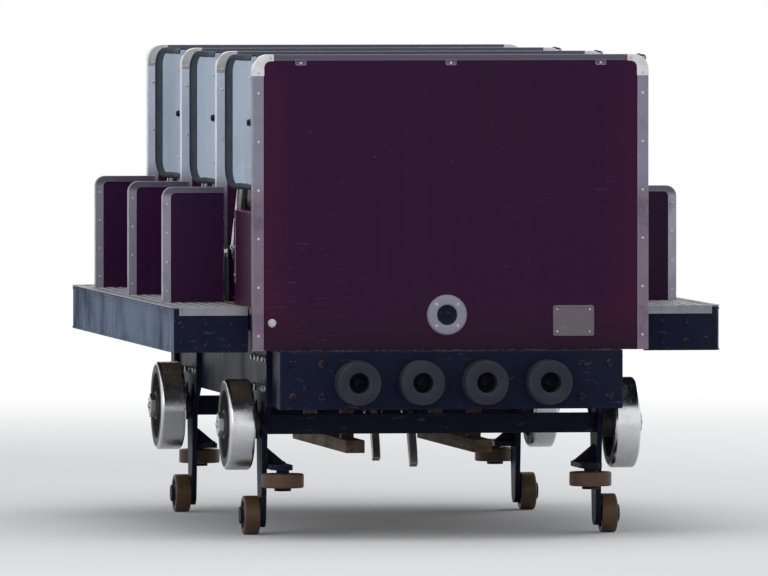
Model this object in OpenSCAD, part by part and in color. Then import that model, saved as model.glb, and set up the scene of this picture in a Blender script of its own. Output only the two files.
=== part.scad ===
// Roller coaster car for a wooden track: three benches, two riders on each.
// Forward is +Y, left is -X and up is +Z. The car stands on its up-stop wheels,
// with the origin on the ground under the middle of its whole length.

/* [Body boards] */
// Width over the four upright boards
body_w = 1220; // [1000:10:1400]
// Height of the rear board, from its foot to its top
board_h = 902; // [800:1:1050]
// Thickness of each board
board_t = 30; // [18:1:45]
// Radius of the top corners of each board
board_corner_r = 45; // [15:1:90]
// Distance from one seat row to the next
row_pitch = 800; // [760:10:1000]
// Height of the rear board's foot above the rail
board_foot = 380; // [360:5:460]

/* [Metal edging] */
// Width of the side strips that cover the boards' edges
edging_w = 32; // [15:1:50]
// Depth of the strip along the boards' tops
edging_cap = 16; // [8:1:30]
// Thickness of the edging's metal
edging_t = 2.5; // [1:0.5:4]

/* [Side ears] */
// Length of an ear, forward of its board
ear_depth = 300; // [150:10:420]
// Height of an ear
ear_h = 404; // [250:2:440]
// Thickness of an ear
ear_t = 16; // [8:1:25]
// How far the front edge flares out
ear_flare = 40; // [0:1:60]
// Length of the flat part beside the board
ear_flat = 130; // [40:5:160]
// Radius of the two front corners
ear_corner_r = 60; // [10:1:90]
// Distance from the board's top down to the ear
ear_drop = 4; // [0:1:40]

/* [Seats] */
// Depth of a seat box, from its back to its front panel
seat_depth = 450; // [400:5:480]
// Height of a seat box above the floor
seat_h = 290; // [230:5:330]
// Thickness of the seat box panels
seat_panel_t = 18; // [10:1:25]
// Distance from the board's side to the seat box's side
seat_inset = 10; // [4:1:30]
// Thickness of the bench cushion
cushion_h = 100; // [60:5:130]
// Radius of the cushion's long edges
cushion_r = 28; // [10:1:30]
// Distance from the board's side to the cushion's end
cushion_inset = 35; // [25:1:60]
// How far the cushion stands out over the front panel
cushion_lip = 5; // [0:1:12]
// Thickness of the back pad
pad_t = 60; // [40:5:80]
// Height of the back pad
pad_h = 340; // [250:5:380]
// Gap between the cushion and the back pad
pad_gap = 10; // [5:1:20]
// Distance from the board's side to the back pad's end
pad_inset = 50; // [40:1:80]
// Radius of the back pad's long edges
pad_r = 22; // [8:1:29]

/* [Lap bars] */
// Diameter of the bar's tube
bar_d = 34; // [25:1:42]
// Radius of the bends between the bar and its arms
bar_bend_r = 50; // [40:1:55]
// Diameter of the padded sleeves
sleeve_d = 56; // [44:1:64]
// Length of each padded sleeve
sleeve_len = 440; // [300:10:480]
// Gap between the two sleeves
sleeve_gap = 120; // [60:5:200]
// Distance from the middle of the car to each arm
arm_x = 560; // [530:1:562]
// Height of the pivot above the floor
pivot_h = 150; // [110:5:180]
// Distance from the pivot back to the closed bar
bar_back = 330; // [300:5:350]
// Distance from the pivot up to the closed bar
bar_up = 405; // [390:5:430]
// Distance from the pivot to the board ahead
pivot_gap = 50; // [40:1:60]
// Diameter of the pivot pin
pivot_pin_d = 20; // [12:1:24]
// Radius of the eye at the foot of each arm
pivot_eye_r = 24; // [20:1:28]
// Width of that eye
pivot_eye_w = 30; // [20:1:34]
// Thickness of the pivot bracket's plates
bracket_t = 8; // [5:1:10]

/* [Floor and running boards] */
// Height of the floor above the rail
deck_h = 510; // [490:5:560]
// Thickness of the floor and the running boards
floor_t = 20; // [12:1:30]
// Overall width over the running boards
overall_w = 1700; // [1560:10:1800]
// Distance from the rear board to the running boards' rear ends
run_start = 90; // [70:10:250]
// Distance that the running boards reach forward of the front board
run_nose = 60; // [50:10:300]
// Height of the side fascias
fascia_h = 137; // [100:1:150]
// Thickness of the fascias and end plates
fascia_t = 8; // [3:1:10]
// Gap between the body and what stands beside it
side_gap = 3; // [3:0.5:6]

/* [Leg guards] */
// Width of a leg guard
guard_w = 190; // [120:5:215]
// Height of a leg guard
guard_h = 355; // [250:5:400]
// Thickness of a leg guard
guard_t = 20; // [12:1:30]
// Distance from a leg guard forward to the board that it belongs to
guard_back = 160; // [20:10:220]
// Radius of a leg guard's outer top corner
guard_corner_r = 30; // [10:1:60]
// Width of the metal strip on a leg guard's outer edge
guard_edging_w = 24; // [12:1:40]

/* [Underframe] */
// Height of the side sills
sill_h = 240; // [200:5:250]
// Width of a side sill's flanges
sill_w = 60; // [40:1:80]
// Thickness of a side sill's metal
sill_t = 10; // [6:1:14]
// Height and width of the cross members
cross_s = 50; // [40:1:60]
// Height of the two low bearers between the sills
bearer_h = 80; // [60:1:120]
// Depth of a low bearer, along the car
bearer_d = 60; // [56:1:80]
// Height of the two end beams
beam_h = 180; // [160:1:185]
// Depth of an end beam, along the car
beam_d = 80; // [60:1:100]
// Width of the end beams
beam_w = 1060; // [1040:5:1150]
// Thickness of an end beam's metal
beam_t = 12; // [8:1:16]
// How far an end beam stands out past its board
beam_proud = 20; // [10:1:40]
// Outside diameter of a rubber buffer
buffer_d = 138; // [100:1:150]
// Diameter of the hole through a buffer
buffer_bore_d = 62; // [40:1:80]
// Length of a buffer
buffer_len = 75; // [50:1:120]
// Distance between buffers
buffer_pitch = 197; // [155:1:230]
// Number of buffers
buffer_count = 4; // [2:1:4]
// Distance from the rear board's foot down to the buffers' centres
buffer_drop = 97; // [85:1:100]

/* [Wheels] */
// Diameter of a road wheel
road_d = 280; // [240:5:300]
// Width of a road wheel's tread
road_w = 80; // [60:1:90]
// Thickness of a road wheel's rim
road_rim = 35; // [20:1:40]
// Thickness of a road wheel's web
road_web = 20; // [12:1:30]
// Diameter of a road wheel's hub
road_hub_d = 90; // [70:1:100]
// Diameter of the holes in a road wheel's web
road_hole_d = 38; // [20:1:42]
// Number of those holes
road_holes = 6; // [4:1:8]
// Distance from the middle of the car to a road wheel's centre
wheel_x = 600; // [590:1:640]
// Distance from the rear board forward to the rear axle
rear_axle_at = 430; // [380:5:520]
// Distance between the axles
wheelbase = 1570; // [1400:10:1600]
// Diameter of a guide wheel
guide_d = 130; // [100:2:140]
// Width of a guide wheel's tread
guide_w = 44; // [30:1:48]
// Distance from an axle out to its guide wheels
guide_lead = 150; // [140:1:190]
// Diameter of an up-stop wheel
upstop_d = 120; // [100:2:140]
// Width of an up-stop wheel's tread
upstop_w = 48; // [36:1:56]
// How far an up-stop wheel reaches under its rail
upstop_reach = 32; // [20:1:36]
// Thickness of the rims of the guide and up-stop wheels
roller_rim = 16; // [8:1:20]
// Thickness of the webs of the guide and up-stop wheels
roller_web = 24; // [12:1:30]
// Diameter of the hubs of the guide and up-stop wheels
roller_hub_d = 52; // [36:1:60]
// Width of the rail that the wheels embrace
rail_w = 100; // [80:2:110]
// Depth of the ledge between the rail's top and the up-stop wheels
ledge_h = 74; // [70:1:100]
// Gap left between a rail and the guide and up-stop wheels
rail_gap = 6; // [3:0.5:8]

/* [Axles and carriers] */
// Diameter of the spindle that a road wheel turns on
spindle_d = 50; // [40:1:56]
// Height and depth of the axle beams
axle_s = 60; // [56:1:60]
// Width across the corners of an axle nut
nut_d = 75; // [66:1:90]
// Thickness of an axle nut
nut_t = 16; // [10:1:24]
// Thickness of a carrier's plate
carrier_t = 16; // [10:1:20]
// Height of the stretch where a carrier lies on the sill
carrier_seat = 180; // [120:5:200]
// Diameter of the two holes that lighten a carrier
carrier_hole_d = 60; // [30:2:70]
// Half width of a carrier where it is bolted to the sill
carrier_half_w = 150; // [120:5:170]
// Half width of a carrier at the axle
carrier_waist = 70; // [55:1:72]
// Radius of a carrier's foot
carrier_foot_r = 38; // [26:1:42]
// Diameter of the pins of the guide and up-stop wheels
pin_d = 26; // [20:1:30]
// Thickness of the pins' heads
pin_head_t = 8; // [5:1:10]
// Diameter of the pins' heads
pin_head_d = 52; // [36:1:56]
// Thickness of a guide wheel's arm
arm_t = 16; // [10:1:20]
// Radius of the arm's round end
arm_tip_r = 31; // [24:1:36]
// Height of the gusset on the arm
gusset_h = 56; // [30:2:70]
// Diameter of the collar between the arm and the guide wheel
collar_d = 40; // [32:1:48]
// Height from a guide wheel's top to its arm
arm_gap = 10; // [8:1:16]

/* [Coupling and dogs] */
// Distance from the drawbar's pivot to the centre of its eye
drawbar_len = 295; // [240:5:340]
// Thickness of the drawbar
drawbar_t = 26; // [18:1:32]
// Diameter of the holes in the drawbar
drawbar_bore_d = 32; // [24:1:36]
// Radius of the drawbar's two eyes
drawbar_eye_r = 38; // [32:1:42]
// Width of the drawbar between its eyes
drawbar_w = 48; // [30:1:60]
// Distance from the front beam forward to the drawbar's pivot
drawbar_root = 45; // [44:1:60]
// Thickness of each lug that holds the drawbar
lug_t = 16; // [10:1:20]
// Length of the chain dog, from its pivot down to its tip
chain_dog_len = 180; // [140:5:190]
// Length of the rollback dog, from its pivot down to its tip
rollback_dog_len = 165; // [140:5:190]
// Radius of the dogs' eyes
dog_eye_r = 26; // [22:1:30]
// Width of the dogs below their eyes
dog_w = 40; // [30:1:42]
// Width of the dogs' tips
dog_tip_w = 26; // [12:1:30]
// Angle at which both dogs lean back
dog_lean = 26; // [10:1:35]
// Thickness of both dogs
dog_t = 24; // [16:1:32]
// Distance from the bearer down to a dog's pivot
dog_drop = 55; // [50:1:60]
// Thickness of the plates that hold a dog
hanger_t = 10; // [6:1:14]
// Distance from the middle of the car to each brake runner
runner_x = 200; // [120:5:300]
// Width of a brake runner
runner_w = 60; // [40:1:90]
// Thickness of a brake runner
runner_t = 40; // [20:1:50]
// Length of a brake runner
runner_len = 1150; // [900:10:1200]
// Height of the brake runners' undersides above the rail
runner_clear = 40; // [30:1:60]

/* [Fits] */
// Radial clearance of a pin in the piece that turns on it
run_fit = 0.05; // [0.02:0.01:0.1]
// Radial clearance of a spindle in a plate that holds it
plate_fit = 0.3; // [0.1:0.1:0.5]
// Side clearance between a turning piece and its neighbours
turn_gap = 2; // [1:0.5:3]

/* [Hidden] */
$fn = 64;
eps = 1; // how far a cutting tool runs past the face it opens

// Benches from the rear one forward, sides from the left, axles from the rear
ROWS = ["rear", "middle", "front"];
SIDES = [-1, 1];
ENDS = [-1, 1];
row_count = len(ROWS);

// Colours, as the photograph shows them
maroon = [0.30, 0.07, 0.15];
pale = [0.80, 0.81, 0.83];
dark_steel = [0.13, 0.15, 0.18];
bright_steel = [0.62, 0.63, 0.65];
timber = [0.42, 0.33, 0.24];
vinyl = [0.08, 0.08, 0.09];
rubber = [0.05, 0.05, 0.05];

// Heights
rail_z = upstop_d + rail_gap + ledge_h;
axle_z = rail_z + road_d / 2;
foot_z = rail_z + board_foot;
top_z = foot_z + board_h;
deck_z = rail_z + deck_h;
cross_z = deck_z - floor_t - cross_s;
sill_z = cross_z - sill_h;
beam_z = foot_z - beam_h;
buffer_z = foot_z - buffer_drop;
seat_z = deck_z + seat_h;
cushion_z = seat_z + cushion_h;
pivot_z = deck_z + pivot_h;
guide_top = rail_z - rail_gap;
guide_low = guide_top - guide_w;
arm_z = guide_top + arm_gap;
dog_z = sill_z - dog_drop;
runner_z = rail_z + runner_clear;

// Widths
half_w = body_w / 2;
run_in = half_w + side_gap;
run_out = overall_w / 2;
rail_edge = wheel_x - rail_w / 2;
upstop_in = rail_edge + upstop_reach - upstop_w;
upstop_out = upstop_in + upstop_w + turn_gap;
carrier_out = upstop_in - 2 * turn_gap;
carrier_in = carrier_out - carrier_t;
guide_x = rail_edge - rail_gap - guide_d / 2;
hub_in = carrier_out + 2 * turn_gap;
hub_out = wheel_x + road_w / 2 + turn_gap;
cross_half = run_out - fascia_t;

// Places along the car, counted forward from the rear board's rear face
last_board = row_count * row_pitch;
run_len = last_board + run_nose - run_start;
rear_reach = beam_proud + buffer_len;
front_face = last_board + board_t + beam_proud;
front_reach = front_face + drawbar_root + drawbar_len + drawbar_eye_r;
rear_y = (rear_reach - front_reach) / 2;
seat_y = board_t + edging_t;
pivot_y = row_pitch - pivot_gap;
bearers = [rear_axle_at + wheelbase / 4, rear_axle_at + wheelbase * 3 / 4];

// Cross members under the floor: place along the car, half length
crosses = [
    [run_start + fascia_t + cross_s / 2, cross_half],
    [bearers[0], cross_half],
    [bearers[1], cross_half],
    [last_board, cross_half]
];

function board_y(i) = rear_y + i * row_pitch;
function axle_y(end) = rear_y + rear_axle_at + (end > 0 ? wheelbase : 0);

// Shapes used by several pieces

// Draws its child at the origin of one corner's own frame: +X outboard,
// +Y towards the nearer end of the car
module at_corner(side, end) {
    translate([0, axle_y(end), 0])
        mirror([side < 0 ? 1 : 0, 0, 0])
            mirror([0, end < 0 ? 1 : 0, 0])
                children();
}

// Draws its child on the right, and mirrored on the left
module both_sides() {
    for (side = SIDES)
        mirror([side < 0 ? 1 : 0, 0, 0]) children();
}

// Stands a flat outline, drawn as width by height, upright across the car
module across(thickness) {
    rotate([90, 0, 0]) translate([0, 0, -thickness])
        linear_extrude(thickness) children();
}

// Stands a flat outline, drawn as length by height, upright along the car
module along(thickness) {
    rotate([90, 0, 90]) linear_extrude(thickness) children();
}

// Rectangle from x0 to x1 with both top corners rounded
module rounded_top(x0, x1, height, r) {
    translate([x0, 0]) square([x1 - x0, height - r]);
    translate([x0 + r, 0]) square([x1 - x0 - 2 * r, height]);
    for (x = [x0 + r, x1 - r])
        translate([x, height - r]) circle(r);
}

// Rectangle with all four corners rounded
module rounded(size, r) {
    translate([r, 0]) square([size.x - 2 * r, size.y]);
    translate([0, r]) square([size.x, size.y - 2 * r]);
    for (x = [r, size.x - r], y = [r, size.y - r])
        translate([x, y]) circle(r);
}

// Rectangle from 0 to width with only its outer top corner rounded
module rounded_outer(width, height, r) {
    square([width, height - r]);
    square([width - r, height]);
    translate([width - r, height - r]) circle(r);
}

// Round bar along X
module bar_x(x0, x1, d) {
    translate([x0, 0, 0]) rotate([0, 90, 0]) cylinder(h = x1 - x0, d = d);
}

// Wheel about the X axis, centred on its tread. The hub runs from hub0 to hub1
module wheel(d, w, bore, hub_d, hub0, hub1, web, rim) {
    r = d / 2;
    edge = rim / 5;
    rotate([0, 90, 0]) rotate_extrude($fn = 96) polygon([
        [bore / 2, hub0], [hub_d / 2, hub0], [hub_d / 2, -web / 2],
        [r - rim, -web / 2], [r - rim, -w / 2], [r - edge, -w / 2],
        [r, edge - w / 2], [r, w / 2 - edge], [r - edge, w / 2],
        [r - rim, w / 2], [r - rim, web / 2], [hub_d / 2, web / 2],
        [hub_d / 2, hub1], [bore / 2, hub1]
    ]);
}

// Upright boards

module board_outline(z0) {
    translate([0, z0])
        rounded_top(-half_w, half_w, top_z - z0, board_corner_r);
}

module board(i, z0) {
    color(maroon) translate([0, board_y(i), 0])
        across(board_t) board_outline(z0);
}

module rear_board() board(0, foot_z);
module middle_board() board(1, deck_z);
module forward_board() board(2, deck_z);
module front_board() board(3, deck_z);

// Metal strip that wraps both side edges and the top of one board
module edging(i, z0) {
    color(pale) translate([0, board_y(i), 0]) difference() {
        translate([0, -edging_t, 0]) across(board_t + 2 * edging_t)
            difference() {
                translate([0, z0]) rounded_top(
                    -half_w - edging_t, half_w + edging_t,
                    top_z - z0 + edging_t, board_corner_r + edging_t);
                translate([0, z0 - eps]) rounded_top(
                    edging_w - half_w, half_w - edging_w,
                    top_z - z0 + eps - edging_cap, board_corner_r / 2);
            }
        across(board_t) board_outline(z0 - eps);
    }
}

module board_edging() {
    edging(0, foot_z);
    for (i = [1:row_count]) edging(i, deck_z);
}

// Pale side panels beside the riders' shoulders, flared at the front
module ear() {
    translate([0, 0, top_z - ear_drop - ear_h]) intersection() {
        linear_extrude(ear_h) polygon([
            [half_w - ear_t, 0], [half_w, 0], [half_w, ear_flat],
            [half_w + ear_flare, ear_depth],
            [half_w + ear_flare - ear_t, ear_depth],
            [half_w - ear_t, ear_flat]
        ]);
        translate([half_w - 2 * ear_t, 0, 0])
            along(ear_flare + 3 * ear_t) union() {
                square([ear_depth - ear_corner_r, ear_h]);
                rounded([ear_depth, ear_h], ear_corner_r);
            }
    }
}

module side_ears() {
    for (i = [0:row_count - 1])
        color(pale) translate([0, board_y(i) + seat_y, 0])
            both_sides() ear();
}

// Upright guards on the running boards, behind every board but the rear one
module leg_guard() {
    translate([run_in, -guard_back - guard_t, deck_z])
        across(guard_t) rounded_outer(guard_w, guard_h, guard_corner_r);
}

module leg_guards() {
    for (i = [1:row_count])
        color(maroon) translate([0, board_y(i), 0])
            both_sides() leg_guard();
}

module guard_strip() {
    translate([run_in, -guard_back - guard_t - edging_t, deck_z])
        across(guard_t + 2 * edging_t) difference() {
            rounded_outer(guard_w + edging_t, guard_h + edging_t,
                guard_corner_r + edging_t);
            translate([-eps, -eps]) rounded_outer(
                guard_w + eps - guard_edging_w, guard_h + eps - edging_cap,
                guard_corner_r / 2);
        }
}

module guard_edging() {
    for (i = [1:row_count])
        color(pale) translate([0, board_y(i), 0]) both_sides()
            difference() {
                guard_strip();
                leg_guard();
            }
}

// Benches

// Plywood box, open where the board and the floor close it
module seat_box() {
    half = half_w - seat_inset;
    inner = half - seat_panel_t;
    difference() {
        translate([-half, seat_y, deck_z])
            cube([2 * half, seat_depth, seat_h]);
        translate([-inner, seat_y - eps, deck_z - eps])
            cube([2 * inner, seat_depth + eps - seat_panel_t,
                seat_h + eps - seat_panel_t]);
    }
}

module seat_boxes() {
    for (i = [0:row_count - 1])
        color(maroon) translate([0, board_y(i), 0]) seat_box();
}

module seat_cushions() {
    half = half_w - cushion_inset;
    for (i = [0:row_count - 1])
        color(vinyl) translate([-half, board_y(i) + seat_y, seat_z])
            along(2 * half)
                rounded([seat_depth + cushion_lip, cushion_h], cushion_r);
}

module back_pads() {
    half = half_w - pad_inset;
    for (i = [0:row_count - 1])
        color(vinyl)
            translate([-half, board_y(i) + board_t, cushion_z + pad_gap])
                along(2 * half) rounded([pad_t, pad_h], pad_r);
}

// Floor, running boards and fascias

module floor_panel() {
    color(timber)
        translate([-half_w, rear_y + seat_y, deck_z - floor_t])
            cube([body_w, last_board + board_t - seat_y, floor_t]);
}

// Step with a plate turned down across each end
module running_board() {
    width = run_out - run_in - fascia_t;
    translate([run_in, rear_y + run_start, 0]) {
        translate([0, 0, deck_z - floor_t]) cube([width, run_len, floor_t]);
        for (y = [0, run_len - fascia_t])
            translate([0, y, deck_z - fascia_h])
                cube([width, fascia_t, fascia_h]);
    }
}

module running_board_left() {
    color(bright_steel) mirror([1, 0, 0]) running_board();
}

module running_board_right() {
    color(bright_steel) running_board();
}

module side_fascias() {
    color(pale) both_sides()
        translate([run_out - fascia_t, rear_y + run_start, deck_z - fascia_h])
            cube([fascia_t, run_len, fascia_h]);
}

// Underframe

// Channel with its open side towards the middle of the car
module side_sills() {
    y0 = rear_y + beam_d - beam_proud;
    y1 = rear_y + front_face - beam_d;
    color(dark_steel) both_sides()
        translate([carrier_in - sill_w, y0, sill_z]) difference() {
            cube([sill_w, y1 - y0, sill_h]);
            translate([-eps, -eps, sill_t])
                cube([sill_w + eps - sill_t, y1 - y0 + 2 * eps,
                    sill_h - 2 * sill_t]);
        }
}

module cross_members() {
    color(dark_steel) {
        for (c = crosses) {
            at = c[0];
            half = c[1];
            translate([-half, rear_y + at - cross_s / 2, cross_z])
                cube([2 * half, cross_s, cross_s]);
        }
        for (at = bearers) {
            half = carrier_in - sill_t;
            translate([sill_t - carrier_in, rear_y + at - bearer_d / 2,
                sill_z + sill_t])
                cube([2 * half, bearer_d, bearer_h]);
        }
    }
}

// Channel across one end of the frame, with its web outwards
module end_beam() {
    translate([-beam_w / 2, 0, beam_z]) difference() {
        cube([beam_w, beam_d, beam_h]);
        translate([beam_t, beam_t, beam_t])
            cube([beam_w - 2 * beam_t, beam_d, beam_h - 2 * beam_t]);
    }
}

module rear_beam() {
    color(dark_steel) translate([0, rear_y - beam_proud, 0]) end_beam();
}

module buffers() {
    for (k = [0:buffer_count - 1])
        color(rubber)
            translate([(k - (buffer_count - 1) / 2) * buffer_pitch,
                rear_y - beam_proud, buffer_z])
                rotate([90, 0, 0]) difference() {
                    cylinder(h = buffer_len, d = buffer_d);
                    translate([0, 0, -eps])
                        cylinder(h = buffer_len + 2 * eps, d = buffer_bore_d);
                }
}

// Beam with the two lugs and the pin that hold the drawbar
module front_beam() {
    color(dark_steel) translate([0, rear_y + front_face, 0]) {
        mirror([0, 1, 0]) end_beam();
        for (z = [-drawbar_t / 2 - turn_gap - lug_t,
                  drawbar_t / 2 + turn_gap])
            translate([0, 0, buffer_z + z]) {
                translate([-drawbar_eye_r, 0, 0])
                    cube([2 * drawbar_eye_r, drawbar_root, lug_t]);
                translate([0, drawbar_root, 0])
                    cylinder(h = lug_t, r = drawbar_eye_r);
            }
        pin_h = drawbar_t + 2 * turn_gap + 2 * lug_t + 2 * pin_head_t;
        translate([0, drawbar_root, buffer_z - pin_h / 2])
            cylinder(h = pin_h, d = drawbar_bore_d - 2 * run_fit);
    }
}

// Axles, carriers and wheels

// Square beam between the carriers, with a spindle and a nut at each end
module axle(end) {
    color(bright_steel) translate([0, axle_y(end), axle_z]) {
        translate([-carrier_in, -axle_s / 2, -axle_s / 2])
            cube([2 * carrier_in, axle_s, axle_s]);
        both_sides() {
            bar_x(0, hub_out + turn_gap + nut_t, spindle_d);
            translate([hub_out + turn_gap, 0, 0]) rotate([0, 90, 0])
                cylinder(h = nut_t, d = nut_d, $fn = 6);
        }
    }
}

module rear_axle() axle(-1);
module front_axle() axle(1);

// Plate that holds the spindle, the up-stop wheel's pin and the guide arm
module carrier() {
    seat_top = sill_z + carrier_seat;
    hole_z = sill_z - carrier_hole_d / 4;
    difference() {
        union() {
            translate([carrier_in, 0, 0]) along(carrier_t) {
                polygon([
                    [-carrier_half_w, seat_top], [carrier_half_w, seat_top],
                    [carrier_half_w, sill_z], [carrier_waist, axle_z],
                    [carrier_foot_r, upstop_d / 2], [-carrier_foot_r, upstop_d / 2],
                    [-carrier_waist, axle_z], [-carrier_half_w, sill_z]
                ]);
                translate([0, upstop_d / 2]) circle(carrier_foot_r);
            }
            guide_arm();
        }
        translate([carrier_in - eps, 0, axle_z])
            bar_x(0, carrier_t + 2 * eps, spindle_d + 2 * plate_fit);
        for (y = [-1, 1])
            translate([carrier_in - eps, y * carrier_waist, hole_z])
                bar_x(0, carrier_t + 2 * eps, carrier_hole_d);
    }
    translate([0, 0, upstop_d / 2]) {
        bar_x(carrier_out, upstop_out, pin_d);
        bar_x(upstop_out, upstop_out + pin_head_t, pin_head_d);
    }
}

// Flat arm over the guide wheel, with a gusset, a collar and the wheel's pin
module guide_arm() {
    arm_w = carrier_in + eps - guide_x + arm_tip_r;
    translate([0, 0, arm_z]) linear_extrude(arm_t) {
        translate([guide_x - arm_tip_r, -carrier_foot_r])
            square([arm_w, guide_lead + carrier_foot_r]);
        translate([guide_x, guide_lead]) circle(arm_tip_r);
    }
    translate([guide_x - arm_tip_r, arm_t / 2, arm_z + arm_t - eps])
        rotate([90, 0, 0]) linear_extrude(arm_t)
            polygon([[0, 0], [arm_w, 0], [arm_w, gusset_h]]);
    translate([guide_x, guide_lead, 0]) {
        translate([0, 0, guide_top + turn_gap])
            cylinder(h = arm_gap - turn_gap + eps, d = collar_d);
        translate([0, 0, guide_low - turn_gap])
            cylinder(h = arm_z - guide_low + turn_gap, d = pin_d);
        translate([0, 0, guide_low - turn_gap - pin_head_t])
            cylinder(h = pin_head_t, d = pin_head_d);
    }
}

module wheel_carriers() {
    for (side = SIDES, end = ENDS)
        color(dark_steel) at_corner(side, end) carrier();
}

// Cast wheel with a ring of holes through its web
module road_wheel(side, end) {
    hole_at = (road_hub_d + road_d - 2 * road_rim) / 4;
    color(bright_steel) at_corner(side, end) translate([wheel_x, 0, axle_z])
        difference() {
            wheel(road_d, road_w, spindle_d + 2 * run_fit, road_hub_d,
                hub_in - wheel_x, hub_out - wheel_x, road_web, road_rim);
            for (k = [1:road_holes])
                rotate([k * 360 / road_holes, 0, 0])
                    translate([-road_web, hole_at, 0])
                        bar_x(0, 2 * road_web, road_hole_d);
        }
}

module guide_wheel(side, end) {
    color(dark_steel) at_corner(side, end)
        translate([guide_x, guide_lead, guide_top - guide_w / 2])
            rotate([0, -90, 0])
                wheel(guide_d, guide_w, pin_d + 2 * run_fit, roller_hub_d,
                    -guide_w / 2, guide_w / 2, roller_web, roller_rim);
}

module upstop_wheel(side, end) {
    color(dark_steel) at_corner(side, end)
        translate([upstop_in + upstop_w / 2, 0, upstop_d / 2])
            wheel(upstop_d, upstop_w, pin_d + 2 * run_fit, roller_hub_d,
                -upstop_w / 2, upstop_w / 2, roller_web, roller_rim);
}

// Pieces under the middle of the car

module brake_runners() {
    y0 = rear_y + rear_axle_at + (wheelbase - runner_len) / 2;
    color(timber) both_sides() {
        translate([runner_x - runner_w / 2, y0, runner_z])
            cube([runner_w, runner_len, runner_t]);
        for (at = bearers)
            translate([runner_x - runner_t / 2, rear_y + at - runner_t / 2,
                runner_z + runner_t - eps])
                cube([runner_t, runner_t,
                    sill_z + sill_t - runner_z - runner_t + eps]);
    }
}

// Two plates under a bearer with a pin between them
module dog_hanger() {
    inner = dog_t / 2 + turn_gap;
    both_sides() translate([inner, 0, 0]) along(hanger_t) {
        translate([-bearer_d / 2, dog_z])
            square([bearer_d, sill_z + sill_t - dog_z]);
        translate([0, dog_z]) circle(bearer_d / 2);
    }
    translate([0, 0, dog_z])
        bar_x(-inner - hanger_t - pin_head_t, inner + hanger_t + pin_head_t,
            pin_d);
}

module dog_hangers() {
    for (at = bearers)
        color(dark_steel) translate([0, rear_y + at, 0]) dog_hanger();
}

// Trailing pawl: an eye, a tapered body that leans back, and a bevelled tip
module dog(at, reach) {
    root = dog_w / 2;
    tip = dog_tip_w / 2;
    color(bright_steel) translate([-dog_t / 2, rear_y + at, dog_z])
        rotate([-dog_lean, 0, 0]) difference() {
            union() {
                bar_x(0, dog_t, 2 * dog_eye_r);
                along(dog_t) polygon([
                    [root, 0], [root, -reach / 3], [tip, -reach],
                    [-tip, -reach], [-root, -reach * 3 / 4], [-root, 0]
                ]);
            }
            bar_x(-eps, dog_t + eps, pin_d + 2 * run_fit);
        }
}

module chain_dog() dog(bearers[1], chain_dog_len);
module rollback_dog() dog(bearers[0], rollback_dog_len);

module drawbar() {
    color(bright_steel)
        translate([0, rear_y + front_face + drawbar_root,
            buffer_z - drawbar_t / 2])
            difference() {
                union() {
                    translate([-drawbar_w / 2, 0, 0])
                        cube([drawbar_w, drawbar_len, drawbar_t]);
                    for (y = [0, drawbar_len])
                        translate([0, y, 0])
                            cylinder(h = drawbar_t, r = drawbar_eye_r);
                }
                for (y = [0, drawbar_len])
                    translate([0, y, -eps])
                        cylinder(h = drawbar_t + 2 * eps, d = drawbar_bore_d);
            }
}

// Lap bars

// Foot, two plates and a pin for one arm of a lap bar
module lap_bracket() {
    inner = pivot_eye_w / 2 + turn_gap;
    width = 2 * (inner + bracket_t);
    translate([arm_x, 0, 0]) {
        translate([-width / 2, -pivot_eye_r, deck_z])
            cube([width, 2 * pivot_eye_r, bracket_t]);
        for (x = [-inner - bracket_t, inner])
            translate([x, 0, 0]) along(bracket_t) {
                translate([-pivot_eye_r, deck_z])
                    square([2 * pivot_eye_r, pivot_h]);
                translate([0, pivot_z]) circle(pivot_eye_r);
            }
        translate([0, 0, pivot_z])
            bar_x(-width / 2, width / 2, pivot_pin_d);
    }
}

module lap_bar_brackets() {
    for (i = [0:row_count - 1])
        color(dark_steel) translate([0, board_y(i) + pivot_y, 0])
            both_sides() lap_bracket();
}

// Bar across both riders, bent into an arm at each end, with two padded sleeves
module lap_bar(row) {
    arm_len = norm([bar_back, bar_up]);
    color(bright_steel)
        translate([0, board_y(row) + pivot_y, pivot_z])
            rotate([atan2(bar_back, bar_up), 0, 0]) difference() {
                union() {
                    both_sides() {
                        translate([arm_x, 0, 0]) {
                            bar_x(-pivot_eye_w / 2, pivot_eye_w / 2,
                                2 * pivot_eye_r);
                            cylinder(h = arm_len - bar_bend_r, d = bar_d);
                        }
                        translate([arm_x - bar_bend_r, 0, arm_len - bar_bend_r])
                            rotate([90, 0, 0]) rotate_extrude(angle = 90)
                                translate([bar_bend_r, 0]) circle(d = bar_d);
                        translate([0, 0, arm_len])
                            bar_x(sleeve_gap / 2, sleeve_gap / 2 + sleeve_len,
                                sleeve_d);
                    }
                    translate([0, 0, arm_len])
                        bar_x(bar_bend_r - arm_x, arm_x - bar_bend_r, bar_d);
                }
                both_sides() bar_x(arm_x - pivot_eye_w, arm_x + pivot_eye_w,
                    pivot_pin_d + 2 * run_fit);
            }
}

module lap_bar_rear() lap_bar(0);
module lap_bar_middle() lap_bar(1);
module lap_bar_front() lap_bar(2);

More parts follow.
